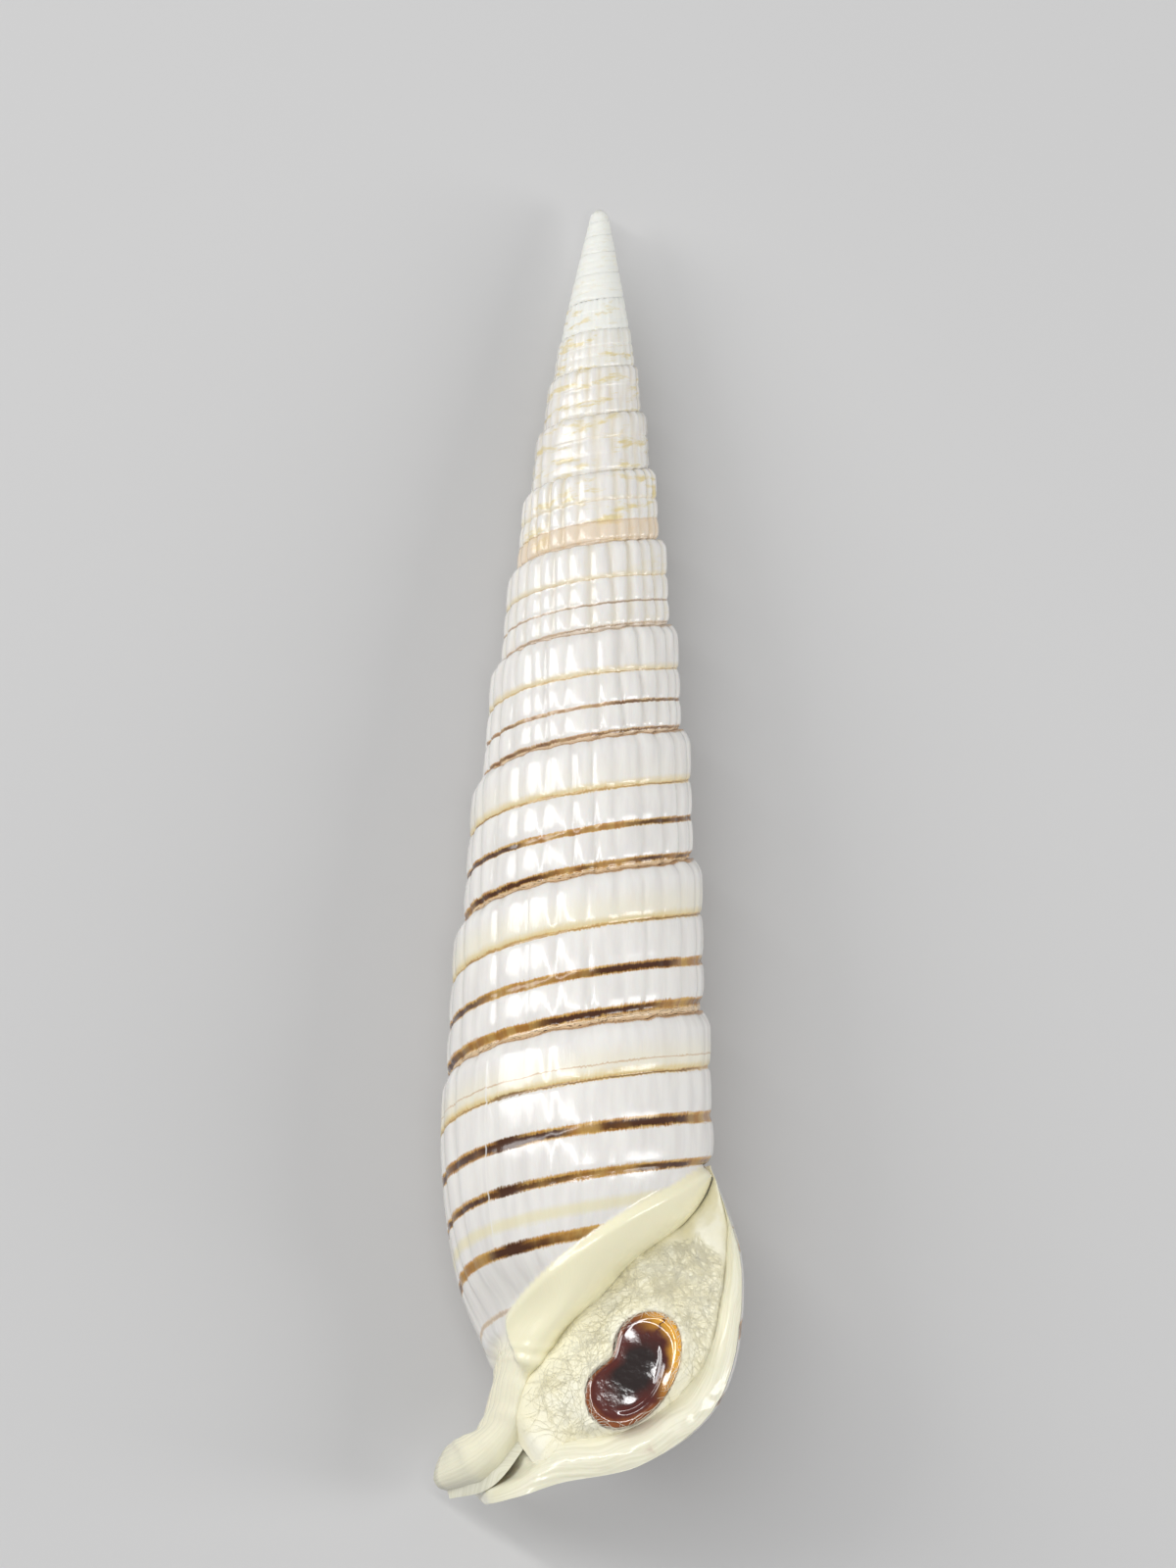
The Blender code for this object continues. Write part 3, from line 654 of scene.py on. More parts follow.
# %% [markdown]
# ## Ledges on the lip, and the end of the canal
# Each section becomes a smooth curve, with its points crowded near the lip, where the ledges are.
# The ledges are steps in the distance along it, and they wander as they follow the edge. The open
# end of the canal is closed between its inside and its outside by a narrow rounded strip.

# %% Lip, hollow and canal end
LIP_LEDGE_HEIGHT, LIP_LEDGE_WIDTH, LEDGE_WANDER = 0.13, 0.40, 0.7
LEDGES_END, LEDGES_START, LEDGES_TO_CANAL = (1.2, 2.2), (0.05, 0.3), (1.85, 2.0)
SECTION_POINTS, LIP_CROWDING = 40, 1.7
RIM_STEPS, RIM_BULGE, CANAL_AXIS = 6, 0.12, (-0.5, 0.2, -0.85)
LIP_BAND, CANAL_BAND = 3.0, 5.0
lip_rows = np.concatenate((WHORL_ROWS, BASE_ROWS))
coarse_rows = (0.0, 0.10, 0.22, 0.34, 0.38, 0.42, 0.52, 0.64, 0.76, 0.88, 1.0, 1.1, 1.2, 1.3, 1.39, 1.48,
               1.57, 1.66, 1.75, 1.83, 1.91, 2.0, 2.05, 2.1, 2.13, 2.16, 2.18, 2.2)
lip_shares = np.interp(lip_rows, coarse_rows, np.linspace(0.0, 1.0, len(coarse_rows)))
lip_edge = shell_skin.points[-2].reshape(len(lap_turns), -1, 3)[-1]

sections = []
for row, share, edge in zip(lip_rows, lip_shares, lip_edge):
    wall_row = wall_row_at(share)
    narrow = smooth_step(CANAL_FROM, CANAL_TO, row)
    inner = mouth_section(row, wall_row) * (1.0 - narrow) + canal_section(row, wall_row) * narrow
    ring = np.concatenate(([edge], inner, [outside_point(-1.0, wall_row)]))
    steps = np.linalg.norm(np.diff(ring, axis=0), axis=1)
    lengths = np.concatenate(([0.0], np.cumsum(steps))) + np.arange(len(ring)) * 1e-4
    near_lip = np.linspace(0.0, 1.0, SECTION_POINTS) ** LIP_CROWDING * lengths[-1]
    sections.append(np.column_stack((curve_through(lengths, ring, near_lip), near_lip)))
sections = np.array(sections)
hollow, reach = sections[..., :3], sections[..., 3]
ledge_place = reach / LIP_LEDGE_WIDTH + LEDGE_WANDER * wander(lip_rows[:, None] * 9.0, 51)
ledges = (ledge_place - np.floor(ledge_place)) * (1.0 - smooth_step(*LEDGES_END, reach))
ledges = ledges * smooth_step(0.0, 0.3, reach) * smooth_step(*LEDGES_START, lip_rows)[:, None]
ledges = ledges * (1.0 - smooth_step(*LEDGES_TO_CANAL, lip_rows))[:, None]
hollow[..., 2] += LIP_LEDGE_HEIGHT * ledges
lip_bands = lip_rows[:, None] + LIP_BAND
shell_skin.add_grid(hollow, turn=0.0, band=lip_bands, cream=1.0, layer=ledge_place, dip=0.0)

rim = shell_skin.points[-3].reshape(len(lap_turns), -1, 3)[:, -1]
bore_laps = [1.0] + [lap for lap, _ in CANAL_BORE] + [0.0]
bore_ring = np.concatenate(([lip_edge[-1]], canal_section(LAST_ROW, wall_row_at(1.0)), [rim[0]]))
bore_at_lap = curve_through(bore_laps[::-1], bore_ring[::-1], lap_turns + 1.0)
rim_shares = np.linspace(0.0, 1.0, RIM_STEPS)[None, :, None]
bulge = RIM_BULGE * np.sin(math.pi * rim_shares) * np.array(CANAL_AXIS)
canal_end = rim[:, None] + (bore_at_lap - rim)[:, None] * rim_shares + bulge
rim_layers = rim_shares[..., 0] * 3.0
shell_skin.add_grid(canal_end, turn=0.0, band=CANAL_BAND, cream=1.0, layer=rim_layers, dip=0.0)
creeper_shell = make_piece("creeper_shell", shell_skin)
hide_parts("shell")

# %% [markdown]
# ## The horny lid
# A living creeper shuts its mouth with a small plate of horn. It is kidney-shaped, glossy and
# nearly black in the middle, and where it thins toward the rim light comes through and turns it
# to amber. A fan of rings gives its top, its rounded rim and its underside in one sheet, and low
# ridges follow the way it grew.

# %% Shape of the lid
LID_CENTRE = (3.6, 67.6)
LID_FRONT, LID_LENGTH, LID_WIDTH, LID_THICKNESS, LID_DOME = 4.35, 7.2, 4.6, 0.9, 0.06
LID_BEARING = math.radians(60.0)
LID_NOTCH, LID_NOTCH_WIDTH = 0.38, 1.5
LID_RIM_ROLL, ROLL_PLACE, ROLL_WIDTH = 0.06, 0.9, 0.06
LID_FOLD_HEIGHT, LID_FOLD_SIZE = 0.035, 1.1
RIDGE_HEIGHT, RIDGE_PLACE, RIDGE_WIDTH, RIDGE_WAVE = 0.13, 0.66, 0.05, 0.06
LID_SIDES, LID_RINGS, EDGE_RINGS = 120, 34, 12
lid_angles = np.linspace(0.0, 2.0 * math.pi, LID_SIDES + 1)


def lid_outline(angles):
    """Kidney outline along and across the lid's own length."""
    along = 0.5 * LID_LENGTH * np.cos(angles)
    across = 0.5 * LID_WIDTH * np.sin(angles)
    notch = LID_NOTCH * np.exp(-((along / LID_NOTCH_WIDTH) ** 2))
    return along, np.where(across > 0.0, across * (1.0 - notch), across)


def inside_lid(x, depth):
    """Rough distance inside the lid's outline, in millimetres, and negative outside it."""
    c, s = math.cos(LID_BEARING), math.sin(LID_BEARING)
    to_x, to_depth = x - LID_CENTRE[0], LID_CENTRE[1] - depth
    along, across = c * to_x + s * to_depth, c * to_depth - s * to_x
    angle = np.arctan2(across / LID_WIDTH, along / LID_LENGTH)
    edge_along, edge_across = lid_outline(angle)
    return np.hypot(edge_along, edge_across) - np.hypot(along, across)


def lid_to_shell(along, across):
    """Place on the shell of a point given along and across the lid."""
    c, s = math.cos(LID_BEARING), math.sin(LID_BEARING)
    return LID_CENTRE[0] + c * along - s * across, LID_CENTRE[1] - (s * along + c * across)


edge_along, edge_across = lid_outline(lid_angles)
ring_share = np.linspace(0.0, 1.0, LID_RINGS)[None, :]
lid_along = edge_along[:, None] * ring_share
lid_across = edge_across[:, None] * ring_share
lid_places = np.stack((lid_along, lid_across, np.zeros_like(lid_along)), -1)
folds = LID_FOLD_HEIGHT * cloud(lid_places, LID_FOLD_SIZE, 61)
ridge_place = ring_share - RIDGE_PLACE - RIDGE_WAVE * np.sin(2.0 * lid_angles)[:, None]
ridge = RIDGE_HEIGHT * np.exp(-(ridge_place / RIDGE_WIDTH) ** 2) * smooth_step(-0.3, -1.2, lid_across)
lid_height = LID_DOME * (1.0 - ring_share ** 2)
lid_height = lid_height + (folds + ridge) * (1.0 - smooth_step(0.75, 0.95, ring_share))
lid_height = lid_height + LID_RIM_ROLL * np.exp(-((ring_share - ROLL_PLACE) / ROLL_WIDTH) ** 2)
top_x, top_depth = lid_to_shell(lid_along, lid_across)
lid_top = np.stack((top_x, top_depth, LID_FRONT + lid_height), -1)

turn_under = np.linspace(0.0, math.pi, EDGE_RINGS)[None, 1:]
rim_along, rim_across = lid_outline(lid_angles[:, None])
tuck = 0.22 * (1.0 - np.sin(turn_under)) * np.where(turn_under > 0.5 * math.pi, 1.0, 0.0)
under_x, under_depth = lid_to_shell(rim_along * (1.0 - 0.12 * tuck), rim_across * (1.0 - 0.2 * tuck))
drop = 0.5 * LID_THICKNESS * (1.0 - np.cos(turn_under))
lid_side = np.stack(np.broadcast_arrays(under_x, under_depth, LID_FRONT - drop), -1)

lid_skin = Skin()
lid_grid = np.concatenate((lid_top, lid_side), axis=1)
middle_under = np.broadcast_to(np.array((*LID_CENTRE, LID_FRONT - LID_THICKNESS)), (LID_SIDES + 1, 1, 3))
lid_grid = np.concatenate((lid_grid, middle_under), axis=1)
rim_mark = np.concatenate((ring_share[0], np.ones(EDGE_RINGS)))[None, :]
lid_skin.add_grid(lid_grid[::-1], rim=rim_mark, bearing=lid_angles[::-1, None])
operculum_horn = make_piece("operculum_horn", lid_skin)
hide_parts("operculum")

# %% [markdown]
# ## Cotton in the mouth
# The cotton was pushed in by hand: it is matted, lumpy and low at the edges. A cloth simulation
# could drop a sheet into the hole, but packed fibre doesn't hang like cloth. So a sheet is
# stretched across the mouth from wall to lip, swollen in the middle and turned down at its edges,
# and lumps of several sizes are added to it. Toward the canal it is pressed flat and waxy, and its
# end laps round onto the front of the pillar.

# %% The matted cotton
COTTON_ROWS = (0.01, 1.8)
COTTON_STATIONS, COTTON_ACROSS = 150, 90
COTTON_DOME, FULL_DOME_GAP, WEDGE_FLATNESS = 0.9, 6.0, 0.6
EDGE_OVERLAP = 0.055
LIP_SIDE_SINK, LIP_SIDE, WALL_SIDE_SINK, WALL_SIDE = 0.25, (0.89, 1.0), 0.3, (0.11, 0.0)
END_SINK, END_SHARE, END_LEAD, END_ROWS = 1.1, 0.02, 0.07, (1.6, 1.8)
WAX_ROWS, WALL_LAP, WALL_LAP_REACH, PILLAR_LAP = (1.35, 1.6), 1.0, (0.45, 0.08), 0.12
WRAP_ROWS, PILLAR_WRAP = (1.64, 1.73), 0.17
WAX_SMOOTHING = 0.85
NUB_PLACE, NUB_LENGTH, NUB_WIDTH, NUB_HEIGHT = (6.85, 59.5), 1.0, 0.45, 0.55
COTTON_LUMPS = ((2.6, 0.12, 71), (1.1, 0.09, 72), (0.5, 0.06, 73), (0.25, 0.03, 74))

cotton_rows = np.linspace(*COTTON_ROWS, COTTON_STATIONS)
cotton_shares = np.interp(cotton_rows, coarse_rows, np.linspace(0.0, 1.0, len(coarse_rows)))
wrapped = smooth_step(*WRAP_ROWS, cotton_rows)
wall_edge, lip_edge_inside = [], []
for row, share, wrap in zip(cotton_rows, cotton_shares, wrapped):
    wall_row = wall_row_at(share) + END_LEAD * smooth_step(*END_ROWS, row)
    wall_edge.append(outside_point(-1.0 + PILLAR_WRAP * wrap, wall_row))
    lip_edge_inside.append(mouth_section(row, wall_row)[1])
wall_edge = np.array(wall_edge)[:, None]
across_mouth = np.array(lip_edge_inside)[:, None] - wall_edge
gap = np.linalg.norm(across_mouth, axis=-1)

across = np.linspace(0.0, 1.0, COTTON_ACROSS)[None, :]
flat_share = (1.0 + 2.0 * EDGE_OVERLAP) * across - EDGE_OVERLAP
cotton = wall_edge + across_mouth * flat_share[..., None]
wrapped = wrapped[:, None]
waxy = smooth_step(*WAX_ROWS, cotton_rows)[:, None] * smooth_step(*WALL_LAP_REACH, across)
dome = COTTON_DOME * np.minimum(gap / FULL_DOME_GAP, 1.0) * (1.0 - WEDGE_FLATNESS * wrapped)
lap_over = (WALL_LAP + (PILLAR_LAP - WALL_LAP) * wrapped) * waxy
edge_sink = LIP_SIDE_SINK * smooth_step(*LIP_SIDE, across)
edge_sink = edge_sink + WALL_SIDE_SINK * smooth_step(*WALL_SIDE, across)
from_end = np.linspace(1.0, 0.0, COTTON_STATIONS)[:, None]
end_sink = END_SINK * (1.0 - smooth_step(0.0, END_SHARE, from_end))
lift = dome * 4.0 * flat_share * (1.0 - flat_share) + lap_over - np.maximum(edge_sink, end_sink)
for size, height, seed in COTTON_LUMPS:
    lift = lift + height * cloud(cotton, size, seed) * (1.0 - WAX_SMOOTHING * waxy)
cotton[..., 2] += lift
nub_across = (cotton[..., 0] - NUB_PLACE[0]) / NUB_WIDTH
nub_along = (cotton[..., 1] - NUB_PLACE[1]) / NUB_LENGTH
cotton[..., 2] += NUB_HEIGHT * np.exp(-(nub_across ** 2 + nub_along ** 2))
print("cotton sheet's front, mm:", round(cotton[..., 2].min(), 2), "to", round(cotton[..., 2].max(), 2))

# %% [markdown]
# ## The lid's bed
# The lid was pressed into the cotton, so the mat dips under it and laps against its rim in a soft
# roll. Two solids could be cut from each other, but the mat only has to follow the lid: inside the
# lid's outline it sinks below the lid, and just outside it rises to the rim.

# %% Press the lid into the cotton
PRESS_REACH, PRESS_DEPTH, PRESS_EDGE = 1.3, 1.15, (-0.03, 0.12)
ROLL_HEIGHT, ROLL_LUMPS = 0.06, 0.12
LIP_SIDE_REACH = (0.86, 0.95)
under_lid = inside_lid(cotton[..., 0], cotton[..., 1])
rim_front = LID_FRONT + ROLL_HEIGHT + ROLL_LUMPS * cloud(cotton, 0.6, 75)
near_rim = 1.0 - smooth_step(0.0, PRESS_REACH, -under_lid)
near_rim = near_rim * (1.0 - smooth_step(*LIP_SIDE_REACH, across))
front = cotton[..., 2] + (rim_front - cotton[..., 2]) * near_rim
front = front + (LID_FRONT - PRESS_DEPTH - front) * smooth_step(*PRESS_EDGE, under_lid)
cotton[..., 2] = front

cotton_skin = Skin()
cotton_skin.add_grid(cotton, wax=waxy)
print("points of the mat that lie under the lid:", int((under_lid > 0.0).sum()))

# %% [markdown]
# ## Loose fibres
# What tells cotton from snow is its fibres. Many fine curved hairs lie on the mat, each walking
# along the surface in a slowly turning direction and lifting off it here and there. Hair curves
# would be lighter, but an exported model loses them. These are real mesh tubes, three-sided
# because they are so thin.

# %% Fibres that lie on the mat
FIBRE_COUNT, FIBRE_STEPS, FIBRE_STEP, SHORTEST_FIBRE = 1500, 12, 0.24, 5
FIBRE_RADIUS, FIBRE_TIP_SHARE = 0.014, 0.35
FIBRE_LIFT, FIBRE_LIFT_SPREAD = 0.05, (0.3, 2.4)
FIBRE_BEND, FIBRE_JITTER = 0.35, 0.22
FIBRE_CORNERS = np.radians((90.0, 210.0, 330.0, 450.0))
MAT_MARGIN = (8, 6)
LOWEST_FRONT, ABOVE_ALL = 2.0, 20.0
OVER_RIM, ONTO_LID, ONTO_LID_HEIGHT = -0.1, 0.35, 0.06

mat_tree = BVHTree.FromPolygons(cotton.reshape(-1, 3).tolist(), cotton_skin.faces[0].tolist())
chance = np.random.default_rng(81)


def front_of_mat(x, depth):
    """Front of the cotton at a place, or None off its edge."""
    hit = mat_tree.ray_cast(Vector((x, depth, ABOVE_ALL)), Vector((0.0, 0.0, -1.0)))[0]
    return hit.z if hit else None


def walk_fibre():
    """A chain of points that wanders over the mat."""
    margin, side_margin = MAT_MARGIN
    station = chance.integers(margin, COTTON_STATIONS - margin)
    start = cotton[station, chance.integers(side_margin, COTTON_ACROSS - side_margin)]
    x, depth = start[0], start[1]
    heading = chance.uniform(0.0, 2.0 * math.pi)
    bend = chance.normal(0.0, FIBRE_BEND)
    lift = FIBRE_LIFT * chance.uniform(*FIBRE_LIFT_SPREAD)
    chain = []
    for step in range(FIBRE_STEPS):
        front = front_of_mat(x, depth)
        if front is None or front < LOWEST_FRONT:
            break
        arch = math.sin(math.pi * step / (FIBRE_STEPS - 1))
        over_lid = inside_lid(x, depth)
        if over_lid > ONTO_LID:
            break
        if over_lid > OVER_RIM:
            front = max(front, LID_FRONT + ONTO_LID_HEIGHT)
        chain.append((x, depth, front + lift * arch))
        heading += bend * 0.5 + chance.normal(0.0, FIBRE_JITTER)
        x += FIBRE_STEP * math.cos(heading)
        depth += FIBRE_STEP * math.sin(heading)
    return np.array(chain)


print("mat's front at the lid's centre, mm:", round(front_of_mat(*LID_CENTRE), 2))

# %% Fibres as thin tubes
def add_fibre(skin, chain):
    """Three-sided tube along a chain of points, thinner at its ends."""
    along = np.gradient(chain, axis=0)
    along /= np.linalg.norm(along, axis=1, keepdims=True)
    side = np.cross(along, (0.0, 0.0, 1.0))
    side /= np.maximum(np.linalg.norm(side, axis=1, keepdims=True), 1e-6)
    up = np.cross(side, along)
    fullness = np.sin(np.linspace(0.1, math.pi - 0.1, len(chain)))
    thin = FIBRE_RADIUS * (FIBRE_TIP_SHARE + (1.0 - FIBRE_TIP_SHARE) * fullness)[:, None, None]
    corners = FIBRE_CORNERS[None, :, None]
    ring = side[:, None] * np.cos(corners) + up[:, None] * np.sin(corners)
    skin.add_grid(chain[:, None] + thin * ring, wax=0.0)


chains = [walk_fibre() for _ in range(FIBRE_COUNT)]
chains = [chain for chain in chains if len(chain) >= SHORTEST_FIBRE]
for chain in chains:
    add_fibre(cotton_skin, chain)
print("fibres on the mat:", len(chains))
cotton_plug = make_piece("cotton_plug", cotton_skin)
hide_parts("cotton_wadding")

# %% [markdown]
# ## Node helpers
# A finish is a small machine of nodes. A few helpers keep it readable: one adds a node and fills
# its sockets, and the others name what the nodes are used for.

# %% Values
def add_node(tree, kind, inputs=(), **settings):
    node = tree.nodes.new(kind)
    for name, value in settings.items():
        setattr(node, name, value)
    for socket, value in inputs:
        if isinstance(value, bpy.types.NodeSocket):
            tree.links.new(value, node.inputs[socket])
        else:
            node.inputs[socket].default_value = value
    return node


def mark(tree, name):
    return add_node(tree, "ShaderNodeAttribute", attribute_name=name).outputs["Fac"]


def calc(tree, operation, first, second=0.0):
    return add_node(tree, "ShaderNodeMath", ((0, first), (1, second)), operation=operation).outputs[0]


def times(tree, first, *others):
    """Product of two or more values."""
    for other in others:
        first = calc(tree, "MULTIPLY", first, other)
    return first


def swing(tree, value, size):
    """A noise from 0 to 1 turned into a shift about zero."""
    return times(tree, calc(tree, "SUBTRACT", value, 0.5), size)


def rise(tree, value, low, high):
    """0 below low, 1 above high and smooth between; high may be the smaller."""
    inputs = (("Value", value), ("From Min", low), ("From Max", high))
    return add_node(tree, "ShaderNodeMapRange", inputs, interpolation_type="SMOOTHSTEP").outputs["Result"]


def between(tree, value, fade_in, fade_out):
    """1 inside a range that fades at both its ends, 0 outside it."""
    return times(tree, rise(tree, value, *fade_in), rise(tree, value, *fade_out))


print("helpers for values are ready")

# %% Colour, noise and surface
def blend_colour(tree, share, first, second):
    node = add_node(tree, "ShaderNodeMix", ((0, share), (6, first), (7, second)), data_type="RGBA")
    return node.outputs[2]


def place(tree, x, y):
    return add_node(tree, "ShaderNodeCombineXYZ", ((0, x), (1, y))).outputs[0]


def position(tree):
    """Place of the shaded point on the table, in metres."""
    return add_node(tree, "ShaderNodeNewGeometry").outputs["Position"]


def noise(tree, vector, scale, detail=2.0, roughness=0.5):
    inputs = (("Vector", vector), ("Scale", scale), ("Detail", detail), ("Roughness", roughness))
    return add_node(tree, "ShaderNodeTexNoise", inputs).outputs["Fac"]


def streaks(tree, across, along, detail, roughness=0.5):
    """Noise over two marks, each given with its own rate."""
    at = place(tree, times(tree, *across), times(tree, *along))
    return noise(tree, at, 1.0, detail, roughness)


def bump(tree, height, distance, strength):
    inputs = (("Height", height), ("Distance", distance), ("Strength", strength))
    return add_node(tree, "ShaderNodeBump", inputs).outputs["Normal"]


def new_finish(name, roughness):
    finish = bpy.data.materials.new(name)
    finish.use_nodes = True
    shader = finish.node_tree.nodes["Principled BSDF"]
    shader.inputs["Roughness"].default_value = roughness
    return finish, finish.node_tree, shader


print("helpers for colour, noise and surface are ready")

# %% [markdown]
# ## Porcelain with brown threads
# The shell's colour follows its bands. Cream gathers above the groove, a brown thread with an
# amber edge runs at each of two places, more threads circle the base, and a tan strip lies at the
# seam. The threads pale toward the tip and grow dark near the lip. Noise stretched along the
# growth lines breaks them up, just as each day's growth did.

# %% Colours of the shell
PORCELAIN = (0.86, 0.835, 0.79, 1.0)
PORCELAIN_SHADE = (0.78, 0.75, 0.715, 1.0)
CREAM = (0.87, 0.80, 0.55, 1.0)
STRAW = (0.78, 0.63, 0.32, 1.0)
AMBER = (0.50, 0.235, 0.04, 1.0)
HONEY = (0.66, 0.40, 0.11, 1.0)
THREAD_BROWN = (0.07, 0.02, 0.004, 1.0)
SEAM_TAN = (0.78, 0.58, 0.36, 1.0)
PALE_YELLOW = (0.82, 0.74, 0.42, 1.0)
CHALK = (0.86, 0.855, 0.79, 1.0)
WORN_YELLOW = (0.75, 0.63, 0.34, 1.0)
CALLUS_CREAM = (0.92, 0.87, 0.62, 1.0)
FURROW_SHADE_GREY = (0.66, 0.63, 0.58, 1.0)
FURROW_STAIN_AND_SHADE = (0.72, 0.62, 0.40, 1.0)
LIP_GREY = (0.80, 0.77, 0.60, 1.0)
LIP_WHITE = (0.92, 0.89, 0.73, 1.0)
BLEMISH_PINK = (0.55, 0.38, 0.28, 1.0)
print("darkest and palest, red part:", THREAD_BROWN[0], CALLUS_CREAM[0])

# %% Marks and noise that the painting reads
CHALK_AGES = (-8.2, -9.6)


class ShellMarks:
    """The shell's marks, and noise that runs along its growth lines."""

    def __init__(self, tree):
        self.turn, self.band, self.cream = mark(tree, "turn"), mark(tree, "band"), mark(tree, "cream")
        self.growth = streaks(tree, (self.turn, 60.0), (self.band, 2.0), 4.0)
        self.fine = streaks(tree, (self.turn, 400.0), (self.band, 14.0), 3.0)
        broken = streaks(tree, (self.turn, 24.0), (self.band, 30.0), 4.0, 0.7)
        wobbly = calc(tree, "ADD", self.band, swing(tree, broken, 0.035))
        self.ragged = calc(tree, "ADD", wobbly, swing(tree, self.fine, 0.030))
        self.chalk = rise(tree, self.turn, *CHALK_AGES)


print("chalk fades out between turns", CHALK_AGES[1], "and", CHALK_AGES[0])

# %% [markdown]
# ### Ground and wear
# Each layer of colour is laid over the one before, as a painter would glaze. The ground is cool
# porcelain with painted shade in the furrows between the ribs. The shade is grey on the young whorls
# and yellow on the old ones, where real staining mixes with it. Over it come the cream above the
# groove and the straw line in it, then the chalky tip and the stains on the old whorls.

# %% Ground
SHADE_RANGE = (0.35, 0.7)
FURROW_AGES, FURROW_SHADE_SHARE = (-3.5, -5.5), 0.55
CREAM_START, CREAM_END = (0.10, 0.30), (0.375, 0.36)
CREAM_AGES, CREAM_SHARE = (-3.4, -1.6), 0.45
STRAW_START, STRAW_END, STRAW_AGES = (0.30, 0.365), (0.39, 0.372), (-8.0, -1.5)


def paint_ground(tree, marks):
    """Porcelain, painted shade in the furrows, and cream that ends in a straw line."""
    colour = blend_colour(tree, rise(tree, marks.growth, *SHADE_RANGE), PORCELAIN, PORCELAIN_SHADE)
    # Painted shade in the furrows: grey on young whorls, and yellow, mixed with staining, on old ones.
    furrow = blend_colour(tree, rise(tree, marks.turn, *FURROW_AGES), FURROW_SHADE_GREY, FURROW_STAIN_AND_SHADE)
    colour = blend_colour(tree, times(tree, mark(tree, "dip"), FURROW_SHADE_SHARE), colour, furrow)
    in_cream = between(tree, marks.ragged, CREAM_START, CREAM_END)
    in_cream = times(tree, in_cream, rise(tree, marks.turn, *CREAM_AGES), CREAM_SHARE)
    colour = blend_colour(tree, in_cream, colour, CREAM)
    straw = between(tree, marks.ragged, STRAW_START, STRAW_END)
    return blend_colour(tree, times(tree, straw, rise(tree, marks.turn, *STRAW_AGES)), colour, STRAW)


print("cream lies between bands", CREAM_START[0], "and", CREAM_END[0])

# %% Wear
STAIN_RANGE, STAIN_AGES, STAIN_SHARE = (0.52, 0.66), (-4.6, -5.6), 0.75
TIP_AGES, TIP_STAIN = (-10.5, -9.3), 0.3


def paint_wear(tree, marks, colour):
    """A chalky tip, and yellow stains on the old whorls."""
    colour = blend_colour(tree, marks.chalk, colour, CHALK)
    stain = streaks(tree, (marks.turn, 9.0), (marks.band, 5.0), 5.0, 0.65)
    worn = times(tree, rise(tree, stain, *STAIN_RANGE), rise(tree, marks.turn, *STAIN_AGES))
    worn = times(tree, worn, calc(tree, "ADD", TIP_STAIN, rise(tree, marks.turn, *TIP_AGES)))
    return blend_colour(tree, times(tree, worn, STAIN_SHARE), colour, WORN_YELLOW)


print("stains start back of turn", STAIN_AGES[0])

# %% [markdown]
# ### Seams
# Along each seam runs a tan strip, crossed by dark crinkles, and an amber line marks the seam
# itself. One stretch of an older whorl is tan over a wider band than the rest. The crinkles are
# the thin lines along which a noise passes through its middle value.

# %% Seams
STRIP_START, STRIP_TURNS, STRIP_AGES = (0.955, 0.97), (-0.99, -1.01), (-6.5, -2.6)
CRINKLE_WIDTH, CRINKLE_AGES = (0.03, 0.0), (-4.0, -2.5)
TAN_START, TAN_FROM, TAN_TO, TAN_SHARE = (0.66, 0.68), (-6.08, -6.02), (-5.42, -5.5), 0.55
LINE_WIDTH, LINE_FRAY, LINE_AGES, LINE_SHARE = (0.016, 0.004), 0.02, (-6.0, -2.5), 0.8


def paint_seams(tree, marks, colour):
    """Tan strips with dark crinkles, and an amber line at the seam."""
    strip = times(tree, rise(tree, marks.ragged, *STRIP_START), rise(tree, marks.turn, *STRIP_TURNS))
    colour = blend_colour(tree, times(tree, strip, rise(tree, marks.turn, *STRIP_AGES)), colour, SEAM_TAN)
    crinkle = streaks(tree, (marks.turn, 50.0), (marks.band, 110.0), 2.0)
    crinkle = calc(tree, "ABSOLUTE", calc(tree, "SUBTRACT", crinkle, 0.5))
    crinkle = times(tree, rise(tree, crinkle, *CRINKLE_WIDTH), strip)
    crinkle = times(tree, crinkle, rise(tree, marks.turn, *CRINKLE_AGES))
    colour = blend_colour(tree, crinkle, colour, THREAD_BROWN)
    tan_band = times(tree, rise(tree, marks.ragged, *TAN_START), rise(tree, marks.turn, *TAN_FROM))
    tan_band = times(tree, tan_band, rise(tree, marks.turn, *TAN_TO), TAN_SHARE)
    colour = blend_colour(tree, tan_band, colour, SEAM_TAN)
    seam_edge = calc(tree, "ADD", marks.band, swing(tree, marks.fine, LINE_FRAY))
    seam_line = times(tree, rise(tree, seam_edge, *LINE_WIDTH), rise(tree, marks.turn, *LINE_AGES))
    return blend_colour(tree, times(tree, seam_line, LINE_SHARE), colour, AMBER)


print("seam strips start at band", STRIP_START[0])

# %% [markdown]
# ### Threads
# A thread is an amber stripe with a thinner dark core that breaks up into spots. Threads widen and
# darken toward the lip, and the callus covers them. In one short stretch of the last turn, where
# growth paused, they are dark right across.

# %% Threads
THREAD_AGES, WIDENING_AGES, WIDENING, NARROWEST = (-7.0, -2.2), (-5.0, -0.8), 0.75, 0.5
KNOTS_FROM, KNOTS_TO = (-0.715, -0.685), (-0.650, -0.668)
SPOT_RATE, SPOT_RANGE, FAINTEST_CORE = 7.0, (0.36, 0.56), 0.35
CORE_SHIFT, CORE_WIDTH, CORE_SOFTNESS = 0.15, 0.5, 0.7
HONEY_RANGE = (0.4, 0.62)
THREADS = (
    (GROOVE, 0.005, 0.010, 0.65),
    (THREAD_A, 0.022, 0.014, 1.0),
    (THREAD_B, 0.018, 0.014, 1.0),
    (1.375, 0.026, 0.018, 1.0),
    (1.75, 0.008, 0.012, 0.45),
)


